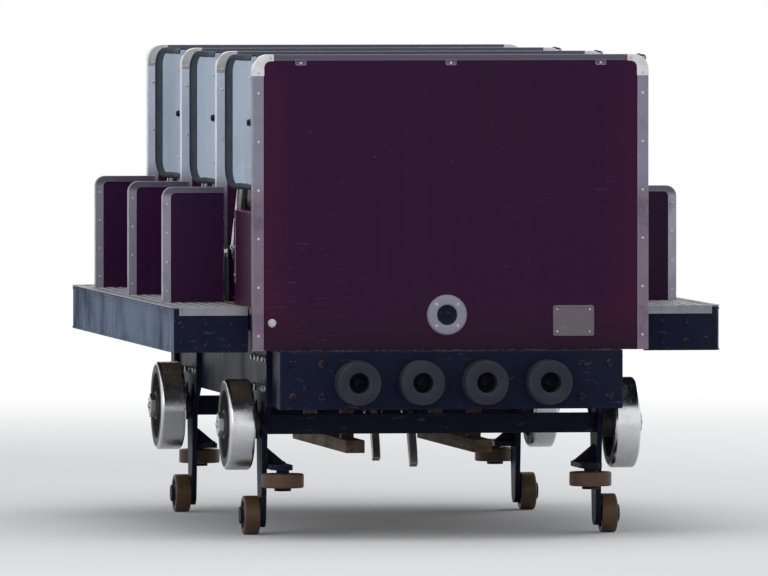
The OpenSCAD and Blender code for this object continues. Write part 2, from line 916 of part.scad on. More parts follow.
rear_board();
middle_board();
forward_board();
front_board();
board_edging();
side_ears();
leg_guards();
guard_edging();
seat_boxes();
seat_cushions();
back_pads();
floor_panel();
running_board_left();
running_board_right();
side_fascias();
side_sills();
cross_members();
rear_beam();
front_beam();
buffers();
wheel_carriers();
rear_axle();
front_axle();
brake_runners();
dog_hangers();
lap_bar_brackets();
lap_bar_rear();
lap_bar_middle();
lap_bar_front();
road_wheel(-1, -1);  // road_wheel_rear_left
road_wheel(1, -1);  // road_wheel_rear_right
road_wheel(-1, 1);  // road_wheel_front_left
road_wheel(1, 1);  // road_wheel_front_right
guide_wheel(-1, -1);  // guide_wheel_rear_left
guide_wheel(1, -1);  // guide_wheel_rear_right
guide_wheel(-1, 1);  // guide_wheel_front_left
guide_wheel(1, 1);  // guide_wheel_front_right
upstop_wheel(-1, -1);  // upstop_wheel_rear_left
upstop_wheel(1, -1);  // upstop_wheel_rear_right
upstop_wheel(-1, 1);  // upstop_wheel_front_left
upstop_wheel(1, 1);  // upstop_wheel_front_right
drawbar();
chain_dog();
rollback_dog();
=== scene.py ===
"""Looks of an open roller coaster car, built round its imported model, in metres."""
import logging
import math
import random
from dataclasses import dataclass
from enum import Enum
from typing import Callable, Iterable, Sequence

import bmesh
import bpy
import numpy as np
from mathutils import Matrix, Vector
from mathutils.bvhtree import BVHTree


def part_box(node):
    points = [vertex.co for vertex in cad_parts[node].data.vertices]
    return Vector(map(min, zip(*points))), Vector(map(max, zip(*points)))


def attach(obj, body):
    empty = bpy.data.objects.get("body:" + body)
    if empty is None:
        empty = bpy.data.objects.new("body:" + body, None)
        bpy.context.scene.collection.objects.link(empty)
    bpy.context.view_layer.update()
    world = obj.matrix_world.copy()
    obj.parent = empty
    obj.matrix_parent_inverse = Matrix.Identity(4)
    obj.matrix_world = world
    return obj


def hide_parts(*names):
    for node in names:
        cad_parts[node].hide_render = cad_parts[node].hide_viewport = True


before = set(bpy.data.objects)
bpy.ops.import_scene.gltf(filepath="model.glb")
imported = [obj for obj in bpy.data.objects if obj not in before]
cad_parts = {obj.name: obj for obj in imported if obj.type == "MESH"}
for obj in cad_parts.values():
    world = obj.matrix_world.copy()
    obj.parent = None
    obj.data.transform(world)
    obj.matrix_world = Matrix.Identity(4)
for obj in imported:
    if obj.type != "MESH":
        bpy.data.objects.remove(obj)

LOG = logging.getLogger("car")
Point = tuple[float, float, float]
Flat = tuple[float, float]
Colour = tuple[float, float, float]
Spot = tuple[Point, Point]

BOARDS = ("rear_board", "middle_board", "forward_board", "front_board")
ROWS = ("rear", "middle", "front")
ENDS = ("rear", "front")
SIDES = {"left": -1.0, "right": 1.0}
SIGNS = tuple(SIDES.values())
ROW_PITCH = 0.800


class Plane(Enum):
    """How a flat outline stands in the car's frame."""

    ACROSS = "x and z, with its depth along y"
    ALONG = "y and z, with its depth along x"
    LEVEL = "x and y, with its depth along z"


class Axis(Enum):
    """Directions in the car's frame."""

    RIGHT = (1.0, 0.0, 0.0)
    LEFT = (-1.0, 0.0, 0.0)
    FORWARD = (0.0, 1.0, 0.0)
    BACK = (0.0, -1.0, 0.0)
    UP = (0.0, 0.0, 1.0)
    DOWN = (0.0, 0.0, -1.0)


class Head(Enum):
    """Profiles of the fastener heads that show on the car, with their faces round the axis."""

    HEX = (((0, -0.1), (1, -0.1), (1, 0.14), (0.92, 0.2), (0, 0.2)), 12)
    DOME = (((1, -0.1), (1, 0.05), (0.86, 0.32), (0.5, 0.52), (0, 0.58)), 10)
    PAN = (((1, -0.1), (0.97, 0.3), (0.8, 0.5), (0.46, 0.55), (0.38, 0.2), (0, 0.2)), 9)
    FLAT = (((1, -0.1), (1, 0.06), (0.9, 0.1), (0.42, 0.12), (0.36, -0.04), (0, -0.04)), 10)


HEXAGON = ((0.8, 0.2), (0.8, 0.68), (0.68, 0.8), (0, 0.84))
STITCH = ((0, -0.0034), (0.0010, -0.0024), (0.0010, 0.0024), (0, 0.0034))
STITCH_PITCH = 0.009
ORIGIN = (0.0, 0.0, 0.0)


def operator(name: str, flip: bool = False) -> Callable[["Wire", "Wire | float"], "Wire"]:
    """Makes one of the wires' operators.

    Args:
        name: The Math node's operation.
        flip: Whether the two sides change places.

    Returns:
        The operator.
    """
    def work(wire: "Wire", other: "Wire | float") -> "Wire":
        """Adds the node."""
        return wire.sheet.math(name, *((other, wire) if flip else (wire, other)))
    return work


class Wire:
    """A value, colour or vector on its way between two nodes, with its arithmetic."""

    __add__ = __radd__ = operator("ADD")
    __sub__ = operator("SUBTRACT")
    __rsub__ = operator("SUBTRACT", flip=True)
    __mul__ = __rmul__ = operator("MULTIPLY")
    __truediv__ = operator("DIVIDE")

    def __init__(self, sheet: "NodeSheet", socket: bpy.types.NodeSocket) -> None:
        """Keeps the sheet and the socket that the value leaves by."""
        self.sheet = sheet
        self.socket = socket

    def band(self, low: float, high: float) -> "Wire":
        """Maps the stretch from low to high smoothly to the stretch from zero to one."""
        return self.sheet.add("ShaderNodeMapRange", {"interpolation_type": "SMOOTHSTEP"},
                              {"Value": self, "From Min": low, "From Max": high})


class NodeSheet:
    """A node tree that is filled through one method."""

    def __init__(self, tree: bpy.types.NodeTree) -> None:
        """Keeps the tree."""
        self.tree = tree

    @staticmethod
    def _pick(sockets: Iterable[bpy.types.NodeSocket], key: int | str) -> bpy.types.NodeSocket:
        """Finds a socket in use by its place or its name."""
        live = [s for s in sockets if s.enabled]
        return live[key] if isinstance(key, int) else next(s for s in live if s.name == key)

    def add(self, kind: str, settings: dict | None = None, inputs: dict | None = None,
            output: int | str = 0) -> Wire:
        """Adds one node.

        Args:
            kind: Blender's name for the node's type.
            settings: The node's own properties, which are set first.
            inputs: Values or wires by the sockets' names or places.
            output: Name or place of the output that is wanted.

        Returns:
            The wire that leaves that output.
        """
        node = self.tree.nodes.new(kind)
        for key, value in (settings or {}).items():
            setattr(node, key, value)
        for key, value in (inputs or {}).items():
            socket = self._pick(node.inputs, key)
            if isinstance(value, Wire):
                self.tree.links.new(value.socket, socket)
            else:
                socket.default_value = (*value, 1.0) if socket.type == "RGBA" else value
        return Wire(self, self._pick(node.outputs, output))

    def math(self, operation: str, *values: Wire | float) -> Wire:
        """Adds one Math node."""
        return self.add("ShaderNodeMath", {"operation": operation}, dict(enumerate(values)))

    def part(self, vector: Wire, letter: str) -> Wire:
        """Takes one coordinate out of a vector."""
        return self.add("ShaderNodeSeparateXYZ", {}, {"Vector": vector}, letter)

    def end(self, kind: str, shader: Wire) -> None:
        """Joins a shader to a new output node."""
        self.tree.links.new(shader.socket, self.tree.nodes.new(kind).inputs["Surface"])


class Graph(NodeSheet):
    """The node tree of one material, with the patterns that the finishes share."""

    def __init__(self, name: str) -> None:
        """Makes an empty material of that name."""
        self.material = bpy.data.materials.new(name)
        self.material.use_nodes = True
        super().__init__(self.material.node_tree)
        self.tree.nodes.clear()
        self.place = self.add("ShaderNodeTexCoord", output="Object")
        self.normal = self.add("ShaderNodeNewGeometry", output="Normal")

    def pattern(self, kind: str, settings: dict, inputs: dict, stretch: Point) -> Wire:
        """Lays a texture over the piece, with a share of its scale along each axis."""
        place = self.add("ShaderNodeMapping", {}, {"Vector": self.place, "Scale": stretch})
        return self.add(kind, settings, {"Vector": place, **inputs})

    def noise(self, scale: float, detail: float = 3.0, stretch: Point = (1, 1, 1),
              roughness: float = 0.55) -> Wire:
        """Lays clouds round one half: so many to a metre, in layers of finer clouds."""
        return self.pattern("ShaderNodeTexNoise", {}, {
            "Scale": scale, "Detail": detail, "Roughness": roughness}, stretch)

    def cells(self, scale: float, feature: str = "F1") -> Wire:
        """Lays cells, so many to a metre, as the distance from their middles or edges."""
        return self.pattern("ShaderNodeTexVoronoi", {"feature": feature}, {"Scale": scale},
                            (1, 1, 1))

    def edges(self, radius: float) -> Wire:
        """Finds the edges that hands and weather wear.

        Args:
            radius: How far from an edge the wear reaches.

        Returns:
            One on an edge, and zero on an open face.
        """
        soft = self.add("ShaderNodeBevel", {"samples": 4}, {"Radius": radius})
        dot = self.add("ShaderNodeVectorMath", {"operation": "DOT_PRODUCT"},
                       {0: soft, 1: self.normal}, "Value")
        return (1.0 - dot).band(0.01, 0.16)

    def height(self) -> Wire:
        """Gives how high a point lies, in metres."""
        return self.part(self.place, "Z")

    def upward(self) -> Wire:
        """Finds the faces that dust settles on."""
        return self.part(self.normal, "Z").band(0.3, 0.95)

    def coat(self, under: Wire | Colour, *layers: tuple[Wire | float, Wire | Colour]) -> Wire:
        """Lays colours over one another.

        Args:
            under: The colour that lies lowest.
            layers: How much of each further colour shows, and the colour.

        Returns:
            The mixed colour.
        """
        for share, colour in layers:
            under = self.add("ShaderNodeMix", {"data_type": "RGBA", "clamp_factor": True},
                             {"Factor": share, "A": under, "B": colour})
        return under

    def surface(self, colour: Wire, roughness: Wire, height: Wire, relief: float,
                metallic: Wire | float = 0.0, **fixed: float) -> None:
        """Ends the material in its shader.

        Args:
            colour: Base colour.
            roughness: Roughness.
            height: Pattern of the relief.
            relief: Depth of that relief, in metres.
            metallic: How metallic the surface is.
            fixed: Values for the shader's other sockets, with _ for a space.
        """
        bump = self.add("ShaderNodeBump", {}, {"Height": height, "Distance": relief,
                                               "Strength": 1.0})
        self.end("ShaderNodeOutputMaterial", self.add("ShaderNodeBsdfPrincipled", {}, {
            "Base Color": colour, "Roughness": roughness, "Metallic": metallic,
            **{key.replace("_", " "): value for key, value in fixed.items()},
            "Normal": bump}))


def times(colour: Colour, share: float) -> Colour:
    """Darkens or lightens a colour, up to white."""
    return tuple(min(1.0, c * share) for c in colour)


@dataclass(frozen=True)
class Finish:
    """A surface finish, made once and shared by its pieces."""

    name: str
    slot: str
    colour: Colour

    def shade(self, g: Graph) -> None:
        """Fills the material's nodes."""
        raise NotImplementedError

    def material(self) -> bpy.types.Material:
        """Gives the finish's material, and makes it the first time."""
        if self.name not in bpy.data.materials:
            self.shade(Graph(self.name))
        return bpy.data.materials[self.name]


@dataclass(frozen=True)
class BoardPaint(Finish):
    """Satin paint on plywood: redder and lighter towards its sides and foot, with painted shade
    along its foot, streaked, scratched and chipped.
    """

    # Redder, lighter tone towards the board's sides and foot.
    brighter_tone: Colour = (0.041, 0.0038, 0.026)
    grime: Colour = (0.014, 0.009, 0.016)
    dust: Colour = (0.20, 0.15, 0.14)
    primer: Colour = (0.24, 0.18, 0.15)
    # Painted shade along the board's foot.
    foot_shade: Colour = (0.006, 0.003, 0.010)
    foot: float = 0.58

    def shade(self, g: Graph) -> None:
        """Layers a redder tone at the sides and foot, painted shade at the foot, streaks, road
        dirt, scratches, chips and orange peel.

        Args:
            g: The material's graph.
        """
        low = g.height().band(self.foot + 0.26, self.foot)
        # Painted shade: darker along the board's foot.
        shaded_foot = g.height().band(self.foot + 0.14, self.foot)
        side = g.math("ABSOLUTE", g.part(g.place, "X")).band(0.44, 0.585)
        # Redder and lighter towards the sides and the foot, in random patches.
        redder = (side * 0.75 + low * 0.55 + g.noise(1.3) - 0.45).band(0.0, 1.1)
        streak = g.noise(20.0, 5.0, (1.0, 1.0, 0.03)).band(0.50, 0.76)
        splash = low * g.noise(34.0, 6.0, roughness=0.72).band(0.50, 0.64)
        scratch = (g.noise(330.0, 2.0, (0.045, 0.045, 1.0)).band(0.66, 0.72)
                   * g.noise(3.5, 2.0).band(0.54, 0.68))
        chip = g.edges(0.006) * g.noise(95.0, 4.0).band(0.50, 0.58)
        speck = g.cells(24.0).band(0.042, 0.030) * g.noise(3.0).band(0.5, 0.60)
        settled = g.upward() * g.noise(18.0, 4.0).band(0.2, 0.9)
        bare = (chip * 0.85 + speck * 0.6).band(0.0, 1.0)
        colour = g.coat(self.colour, (redder * 0.85, self.brighter_tone), (shaded_foot * 0.55, self.foot_shade),
                        (streak * 0.45, self.grime), (splash * 0.45, self.grime),
                        (scratch * 0.22 + settled * 0.25, self.dust), (bare, self.primer))
        gloss = 0.34 + streak * 0.10 + splash * 0.25 + bare * 0.3 + redder * 0.05
        peel = (g.noise(240.0, 2.0) * 0.30 + g.noise(28.0, 2.0) * 0.35 + splash * 0.2
                - bare * 0.5 - scratch * 0.3)
        g.surface(colour, gloss, peel, 0.0006, Specular_IOR_Level=0.12)


@dataclass(frozen=True)
class PanelPaint(Finish):
    """Satin paint on sheet or heavy steel, with grime, scuffs and rust where it is chipped."""

    grime: Colour = (0.16, 0.15, 0.14)
    dirt: float = 0.35
    rust: float = 0.2
    gloss: float = 0.42
    sheen: float = 0.4
    scuffed: Colour = (0.5, 0.5, 0.5)
    dust: Colour = (0.33, 0.30, 0.27)
    under: Colour = (0.21, 0.085, 0.035)

    def shade(self, g: Graph) -> None:
        """Layers grime, runs, scuffs, dust and rusted chips.

        Args:
            g: The material's graph.
        """
        cloud = g.noise(3.5, 5.0).band(0.42, 0.75)
        run = g.noise(30.0, 4.0, (1.0, 1.0, 0.06)).band(0.52, 0.75)
        scuff = g.noise(70.0, 5.0, (0.25, 1.0, 1.0), 0.7).band(0.60, 0.72)
        edge = g.edges(0.005) * g.noise(60.0, 4.0).band(0.46, 0.60)
        spot = g.noise(45.0, 6.0, roughness=0.7).band(0.66, 0.72)
        bare = (edge * 0.8 + spot * 0.6) * self.rust * 2.0
        dust = g.upward() * g.noise(12.0, 4.0).band(0.3, 0.9)
        faded = g.noise(0.8, 2.0).band(0.3, 0.7)
        colour = g.coat(self.colour, (faded * 0.25, times(self.colour, 0.78)),
                        (cloud * self.dirt, self.grime), (run * self.dirt * 0.7, self.grime),
                        (scuff * 0.12, self.scuffed), (dust * 0.2, self.dust),
                        (bare, self.under))
        rough = self.gloss + cloud * 0.15 + run * 0.08 + bare * 0.35
        skin = g.noise(160.0) * 0.4 - bare * 0.5 + g.noise(20.0, 2.0) * 0.4
        g.surface(colour, rough, skin, 0.0006, Specular_IOR_Level=self.sheen)


@dataclass(frozen=True)
class BareMetal(Finish):
    """Bare metal with brushing, scratches, tarnish and grease."""

    tarnish: Colour = (0.20, 0.19, 0.19)
    gloss: float = 0.30
    stain: float = 0.35
    rust: float = 0.0
    brushed: Point = (1.0, 1.0, 0.04)
    # Lighter colour from shoulder height up: painted light.
    lit_shoulder: Colour | None = None
    shoulder: Flat = (1.02, 1.12)
    crown: float | None = None
    worn: Colour = (0.80, 0.80, 0.80)
    rusted: Colour = (0.16, 0.062, 0.026)

    def shade(self, g: Graph) -> None:
        """Layers brushing, scratches, a painted highlight from shoulder height up, tarnish and
        rust.

        Args:
            g: The material's graph.
        """
        brush = g.noise(420.0, 3.0, self.brushed)
        scratch = g.noise(90.0, 4.0, tuple(s * 0.9 + 0.02 for s in self.brushed), 0.75)
        mark = scratch.band(0.62, 0.68)
        patch = g.noise(17.0, 6.0, roughness=0.65).band(0.42, 0.76)
        bloom = g.noise(26.0, 6.0, roughness=0.7).band(0.50, 0.66) * self.rust
        worn = g.edges(0.003)
        layers = [(patch * self.stain, self.tarnish), (mark * 0.25, times(self.colour, 1.35))]
        # Painted light: the metal turns lighter from shoulder height up.
        if self.lit_shoulder:
            brighter_tone = g.height().band(*self.shoulder) * (1.0 - patch * self.stain * 0.4)
            layers.append((brighter_tone, self.lit_shoulder))
        if self.crown:
            top = g.height().band(self.crown - 0.02, self.crown)
            layers.append((top * 0.9, self.tarnish))
        colour = g.coat(self.colour, *layers, (worn * 0.35, self.worn), (bloom, self.rusted))
        rough = (self.gloss + brush * 0.12 + patch * 0.18 * (1.0 - worn) - mark * 0.05
                 + bloom * 0.4)
        metal = 1.0 - bloom * 0.85 - patch * self.stain * 0.25
        relief = brush * 0.35 - mark * 0.25 + bloom * g.noise(300.0) * 0.8
        g.surface(colour, rough, relief, 0.00035, metal)


@dataclass(frozen=True)
class SeatVinyl(Finish):
    """Grained vinyl, dulled where riders slide over it."""

    dulled: Colour = (0.050, 0.047, 0.046)
    dust: Colour = (0.25, 0.23, 0.21)
    grain: float = 520.0

    def shade(self, g: Graph) -> None:
        """Layers grain, creases and dulling.

        Args:
            g: The material's graph.
        """
        grain = g.cells(self.grain, "DISTANCE_TO_EDGE").band(0.0, 0.22)
        fine = g.noise(self.grain * 1.7, 2.0)
        crease = g.noise(34.0, 5.0, (0.5, 1.0, 1.0), 0.65).band(0.47, 0.52)
        wear = g.noise(4.5, 4.0).band(0.42, 0.70)
        dust = g.upward() * g.noise(40.0, 4.0).band(0.35, 0.9)
        colour = g.coat(self.colour, (wear * 0.7, self.dulled), (dust * 0.10, self.dust),
                        ((1.0 - grain) * 0.4, times(self.colour, 0.45)))
        rough = 0.34 + wear * 0.20 - grain * 0.06 + dust * 0.1
        relief = grain * 0.55 + fine * 0.2 - crease * 0.25
        g.surface(colour, rough, relief, 0.0009, Specular_IOR_Level=0.50)


@dataclass(frozen=True)
class Timber(Finish):
    """Worn timber with its grain along Y."""

    dark: Colour = (0.085, 0.055, 0.034)
    grime: Colour = (0.030, 0.027, 0.025)
    planks: float = 7.0

    def shade(self, g: Graph) -> None:
        """Layers grain, pores, boards' own tones and dirt.

        Args:
            g: The material's graph.
        """
        ring = g.noise(32.0, 5.0, (1.0, 0.045, 1.0), 0.6)
        pore = g.noise(320.0, 3.0, (1.0, 0.03, 1.0)).band(0.56, 0.66)
        tone = g.noise(self.planks, 1.0, (1.0, 0.05, 0.3)).band(0.35, 0.65)
        dirt = g.noise(5.0, 6.0, roughness=0.65).band(0.44, 0.72)
        edge = g.edges(0.006)
        colour = g.coat(self.colour, (ring.band(0.36, 0.66), self.dark),
                        (tone * 0.3, times(self.dark, 1.3)), (pore * 0.6, self.grime),
                        (dirt * 0.65, self.grime), (edge * 0.35, times(self.colour, 1.25)))
        rough = 0.72 - edge * 0.1 + dirt * 0.12
        g.surface(colour, rough, ring * 0.5 - pore * 0.5, 0.0012, Specular_IOR_Level=0.25)


@dataclass(frozen=True)
class Rubber(Finish):
    """Rubber or urethane, chalky at its edges, with dirt pressed in."""

    chalk: Colour = (0.30, 0.30, 0.31)
    chalked: float = 0.7
    gloss: float = 0.62
    sheen: float = 0.35

    def shade(self, g: Graph) -> None:
        """Layers chalking, scuffs and pressed-in dirt.

        Args:
            g: The material's graph.
        """
        bloom = g.noise(14.0, 5.0).band(0.40, 0.70)
        edge = g.edges(0.008) * g.noise(42.0, 4.0).band(0.30, 0.62)
        scuff = g.noise(120.0, 5.0, (0.3, 1.0, 1.0), 0.7).band(0.58, 0.68)
        colour = g.coat(self.colour, (bloom * 0.25 * self.chalked, self.chalk),
                        (edge * self.chalked, self.chalk),
                        (scuff * 0.25, tuple(0.4 * c + 0.03 for c in self.chalk)))
        rough = self.gloss + bloom * 0.12 + scuff * 0.08
        relief = g.noise(210.0, 4.0) * 0.6 - scuff * 0.3
        g.surface(colour, rough, relief, 0.0007, Specular_IOR_Level=self.sheen)


@dataclass(frozen=True)
class Thread(Finish):
    """Twisted sewing thread."""

    def shade(self, g: Graph) -> None:
        """Lays the twist and some soil over the thread.

        Args:
            g: The material's graph.
        """
        twist = g.noise(900.0, 2.0, (1.0, 0.6, 1.0))
        soil = g.noise(30.0).band(0.4, 0.7)
        colour = g.coat(self.colour, (soil * 0.5, times(self.colour, 0.5)))
        g.surface(colour, 0.7 + twist * 0.2, twist, 0.0004, Specular_IOR_Level=0.2)


MAROON = BoardPaint("maroon_satin", "maroon_board", (0.0245, 0.0026, 0.0285))
GUARD_PAINT = BoardPaint("guard_satin", "maroon_board", (0.0160, 0.0028, 0.0300),
                         (0.028, 0.0043, 0.032))
# From shoulder height up the rear edging turns lighter and bluer: painted light.
EDGING = BareMetal("edging_aluminium", "bright_edging", (0.190, 0.146, 0.200),
                   (0.080, 0.070, 0.105), gloss=0.36, stain=0.5, lit_shoulder=(0.21, 0.21, 0.28),
                   crown=1.462)
# The same aluminium as the rear edging, darkened as painted shade between the rows, and much
# lighter from shoulder height up as painted light.
INNER_EDGING = BareMetal("inner_edging_aluminium", "bright_edging", (0.120, 0.112, 0.155),
                         (0.050, 0.050, 0.074), gloss=0.36, stain=0.5,
                         lit_shoulder=(0.60, 0.66, 0.80), crown=1.462)
GUARD_EDGING = BareMetal("guard_edging_aluminium", "bright_edging", (0.32, 0.30, 0.38),
                         (0.10, 0.096, 0.135), gloss=0.36, stain=0.3, crown=1.052)
NOSING = BareMetal("nosing_aluminium", "bright_edging", (0.23, 0.23, 0.265),
                   (0.10, 0.10, 0.12), gloss=0.36, stain=0.5)
# The caps are far lighter than the edging they cap: a painted highlight for the glint on the
# boards' rounded top corners.
CAPS = BareMetal("corner_cap_metal", "bright_edging", (0.62, 0.63, 0.66), gloss=0.24,
                 stain=0.3, brushed=(1.0, 1.0, 1.0))
PALE = PanelPaint("pale_panel_paint", "pale_panel", (0.30, 0.38, 0.50), dirt=0.22,
                  rust=0.15, gloss=0.36)
FASCIA = PanelPaint("fascia_paint", "pale_panel", (0.145, 0.188, 0.265),
                    (0.012, 0.020, 0.042), dirt=0.85, rust=0.3, gloss=0.62, sheen=0.02)
PLATE = PanelPaint("blank_plate_paint", "pale_panel", (0.125, 0.105, 0.130), dirt=0.35, rust=0.3)
RING = PanelPaint("ring_paint", "pale_panel", (0.24, 0.24, 0.31), dirt=0.4, rust=0.25)
TREAD = BareMetal("tread_plate_metal", "tread_plate", (0.30, 0.31, 0.34),
                  (0.12, 0.12, 0.13), gloss=0.40, stain=0.6, brushed=(1.0, 0.06, 1.0))
FRAME = PanelPaint("dark_frame_paint", "dark_frame", (0.0034, 0.0064, 0.025),
                   (0.012, 0.013, 0.019), dirt=0.45, rust=0.35, gloss=0.46, sheen=0.09)
STEEL = BareMetal("worn_steel", "machined_steel", (0.46, 0.46, 0.47), stain=0.55,
                  rust=0.25, brushed=(1.0, 1.0, 1.0))
CHROME = BareMetal("polished_bar_steel", "machined_steel", (0.66, 0.66, 0.68), gloss=0.14,
                   stain=0.2, brushed=(0.04, 1.0, 1.0))
ZINC = BareMetal("fastener_zinc", "machined_steel", (0.50, 0.50, 0.50), gloss=0.33,
                 stain=0.5, rust=0.12, brushed=(1.0, 1.0, 1.0))
CAST = PanelPaint("wheel_casting", "wheel_steel", (0.050, 0.050, 0.055),
                  (0.030, 0.022, 0.017), dirt=0.6, rust=0.55, gloss=0.52)
RUNNING = BareMetal("polished_tread_steel", "wheel_steel", (0.70, 0.71, 0.73), gloss=0.15,
                    stain=0.18, rust=0.05, brushed=(0.05, 1.0, 1.0))
TYRE = Rubber("wheel_urethane", "wheel_tread", (0.070, 0.036, 0.016), (0.19, 0.14, 0.10),
              0.45, 0.40)
VINYL = SeatVinyl("black_vinyl", "seat_vinyl", (0.017, 0.016, 0.018))
GRIP = SeatVinyl("sleeve_vinyl", "seat_vinyl", (0.022, 0.021, 0.022), grain=420.0)
THREAD = Thread("grey_thread", "seat_vinyl", (0.22, 0.21, 0.20))
DECK = Timber("deck_timber_worn", "deck_timber", (0.20, 0.145, 0.098))
BUFFER = Rubber("buffer_rubber_dark", "buffer_rubber", (0.0150, 0.0170, 0.0240),
                (0.16, 0.17, 0.20), 0.4, sheen=0.2)
LIP = Rubber("buffer_rubber_chalky", "buffer_rubber", (0.0170, 0.0200, 0.0310),
             (0.080, 0.088, 0.115), 0.6, sheen=0.2)
TRIM = Rubber("ear_trim_rubber", "buffer_rubber", (0.0070, 0.0150, 0.0280),
              (0.030, 0.040, 0.055), 0.4, 0.5, 0.12)
MAT = Rubber("mat_rubber", "buffer_rubber", (0.020, 0.020, 0.021), (0.16, 0.15, 0.14), 0.4,
             0.70)


def stand(flat: Flat, depth: float, plane: Plane) -> Vector:
    """Stands a flat point in the car's frame, at a depth along the third axis."""
    order = {Plane.ACROSS: (flat[0], depth, flat[1]), Plane.ALONG: (depth, *flat),
             Plane.LEVEL: (*flat, depth)}
    return Vector(order[plane])


def arc(centre: Flat, radius: float, start: float, end: float, stretches: int = 8
        ) -> list[Flat]:
    """Gives points along an arc.

    Args:
        centre: The arc's centre.
        radius: Its radius.
        start: Angle of the first point, in degrees.
        end: Angle of the last point, in degrees.
        stretches: Number of stretches.

    Returns:
        The points, both ends included.
    """
    return [(centre[0] + radius * math.cos(a), centre[1] + radius * math.sin(a)) for a in
            (math.radians(start + (end - start) * k / stretches)
             for k in range(stretches + 1))]


def arch(half: float, foot: float, top: float, radius: float) -> list[Flat]:
    """Outlines an upright board, from its left foot over the top to its right foot."""
    return [(-half, foot), *arc((radius - half, top - radius), radius, 180, 90),
            *arc((half - radius, top - radius), radius, 90, 0), (half, foot)]


def rounded(lo: Flat, hi: Flat, radius: float, stretches: int = 5) -> list[Flat]:
    """Outlines a rectangle with four round corners.

    Args:
        lo: Lowest corner.
        hi: Highest corner.
        radius: Radius of the corners.
        stretches: Stretches in each corner.

    Returns:
        The closed outline's points.
    """
    x0, y0, x1, y1 = lo[0] + radius, lo[1] + radius, hi[0] - radius, hi[1] - radius
    return [point for k, centre in enumerate(((x1, y0), (x1, y1), (x0, y1), (x0, y0)))
            for point in arc(centre, radius, 90 * k - 90, 90 * k, stretches)]


def steps(start: float, end: float, pitch: float) -> list[float]:
    """Spaces places evenly between two ends, about a pitch apart, both ends included."""
    count = max(1, round(abs(end - start) / pitch))
    return [start + (end - start) * k / count for k in range(count + 1)]


def turns(count: int, start: float = 0.0) -> list[float]:
    """Spaces angles evenly round a circle, from a start that is a share of the spacing."""
    return [math.tau * (k + start) / count for k in range(count)]


def out_of(sign: float) -> Point:
    """Gives the direction out of one side of the car, or of any other pair along X."""
    return (float(sign), 0.0, 0.0)


def middle_of(node: str) -> Vector:
    """Gives the middle of a node's box."""
    lo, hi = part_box(node)
    return (lo + hi) / 2


def both_faces(x: float, z: float, back: float, front: float) -> list[Spot]:
    """Sets a fastener on each face of an upright board, at one place across it."""
    return [((x, back, z), Axis.BACK.value), ((x, front, z), Axis.FORWARD.value)]


def bake(piece: bpy.types.Object) -> bpy.types.Object:
    """Turns a piece with its modifiers into a plain mesh.

    Args:
        piece: The piece.

    Returns:
        The same piece, with the result as its own mesh and no modifier left.
    """
    bpy.context.view_layer.update()
    graph = bpy.context.evaluated_depsgraph_get()
    mesh = bpy.data.meshes.new_from_object(
        piece.evaluated_get(graph), preserve_all_data_layers=True, depsgraph=graph)
    old, name = piece.data, piece.data.name
    piece.modifiers.clear()
    piece.data = mesh
    bpy.data.meshes.remove(old)
    mesh.name = name
    return piece


def add_object(name: str, data: bpy.types.ID) -> bpy.types.Object:
    """Puts a mesh, a lamp or a camera into the scene as an object at the origin."""
    piece = bpy.data.objects.new(name, data)
    bpy.context.scene.collection.objects.link(piece)
    return piece


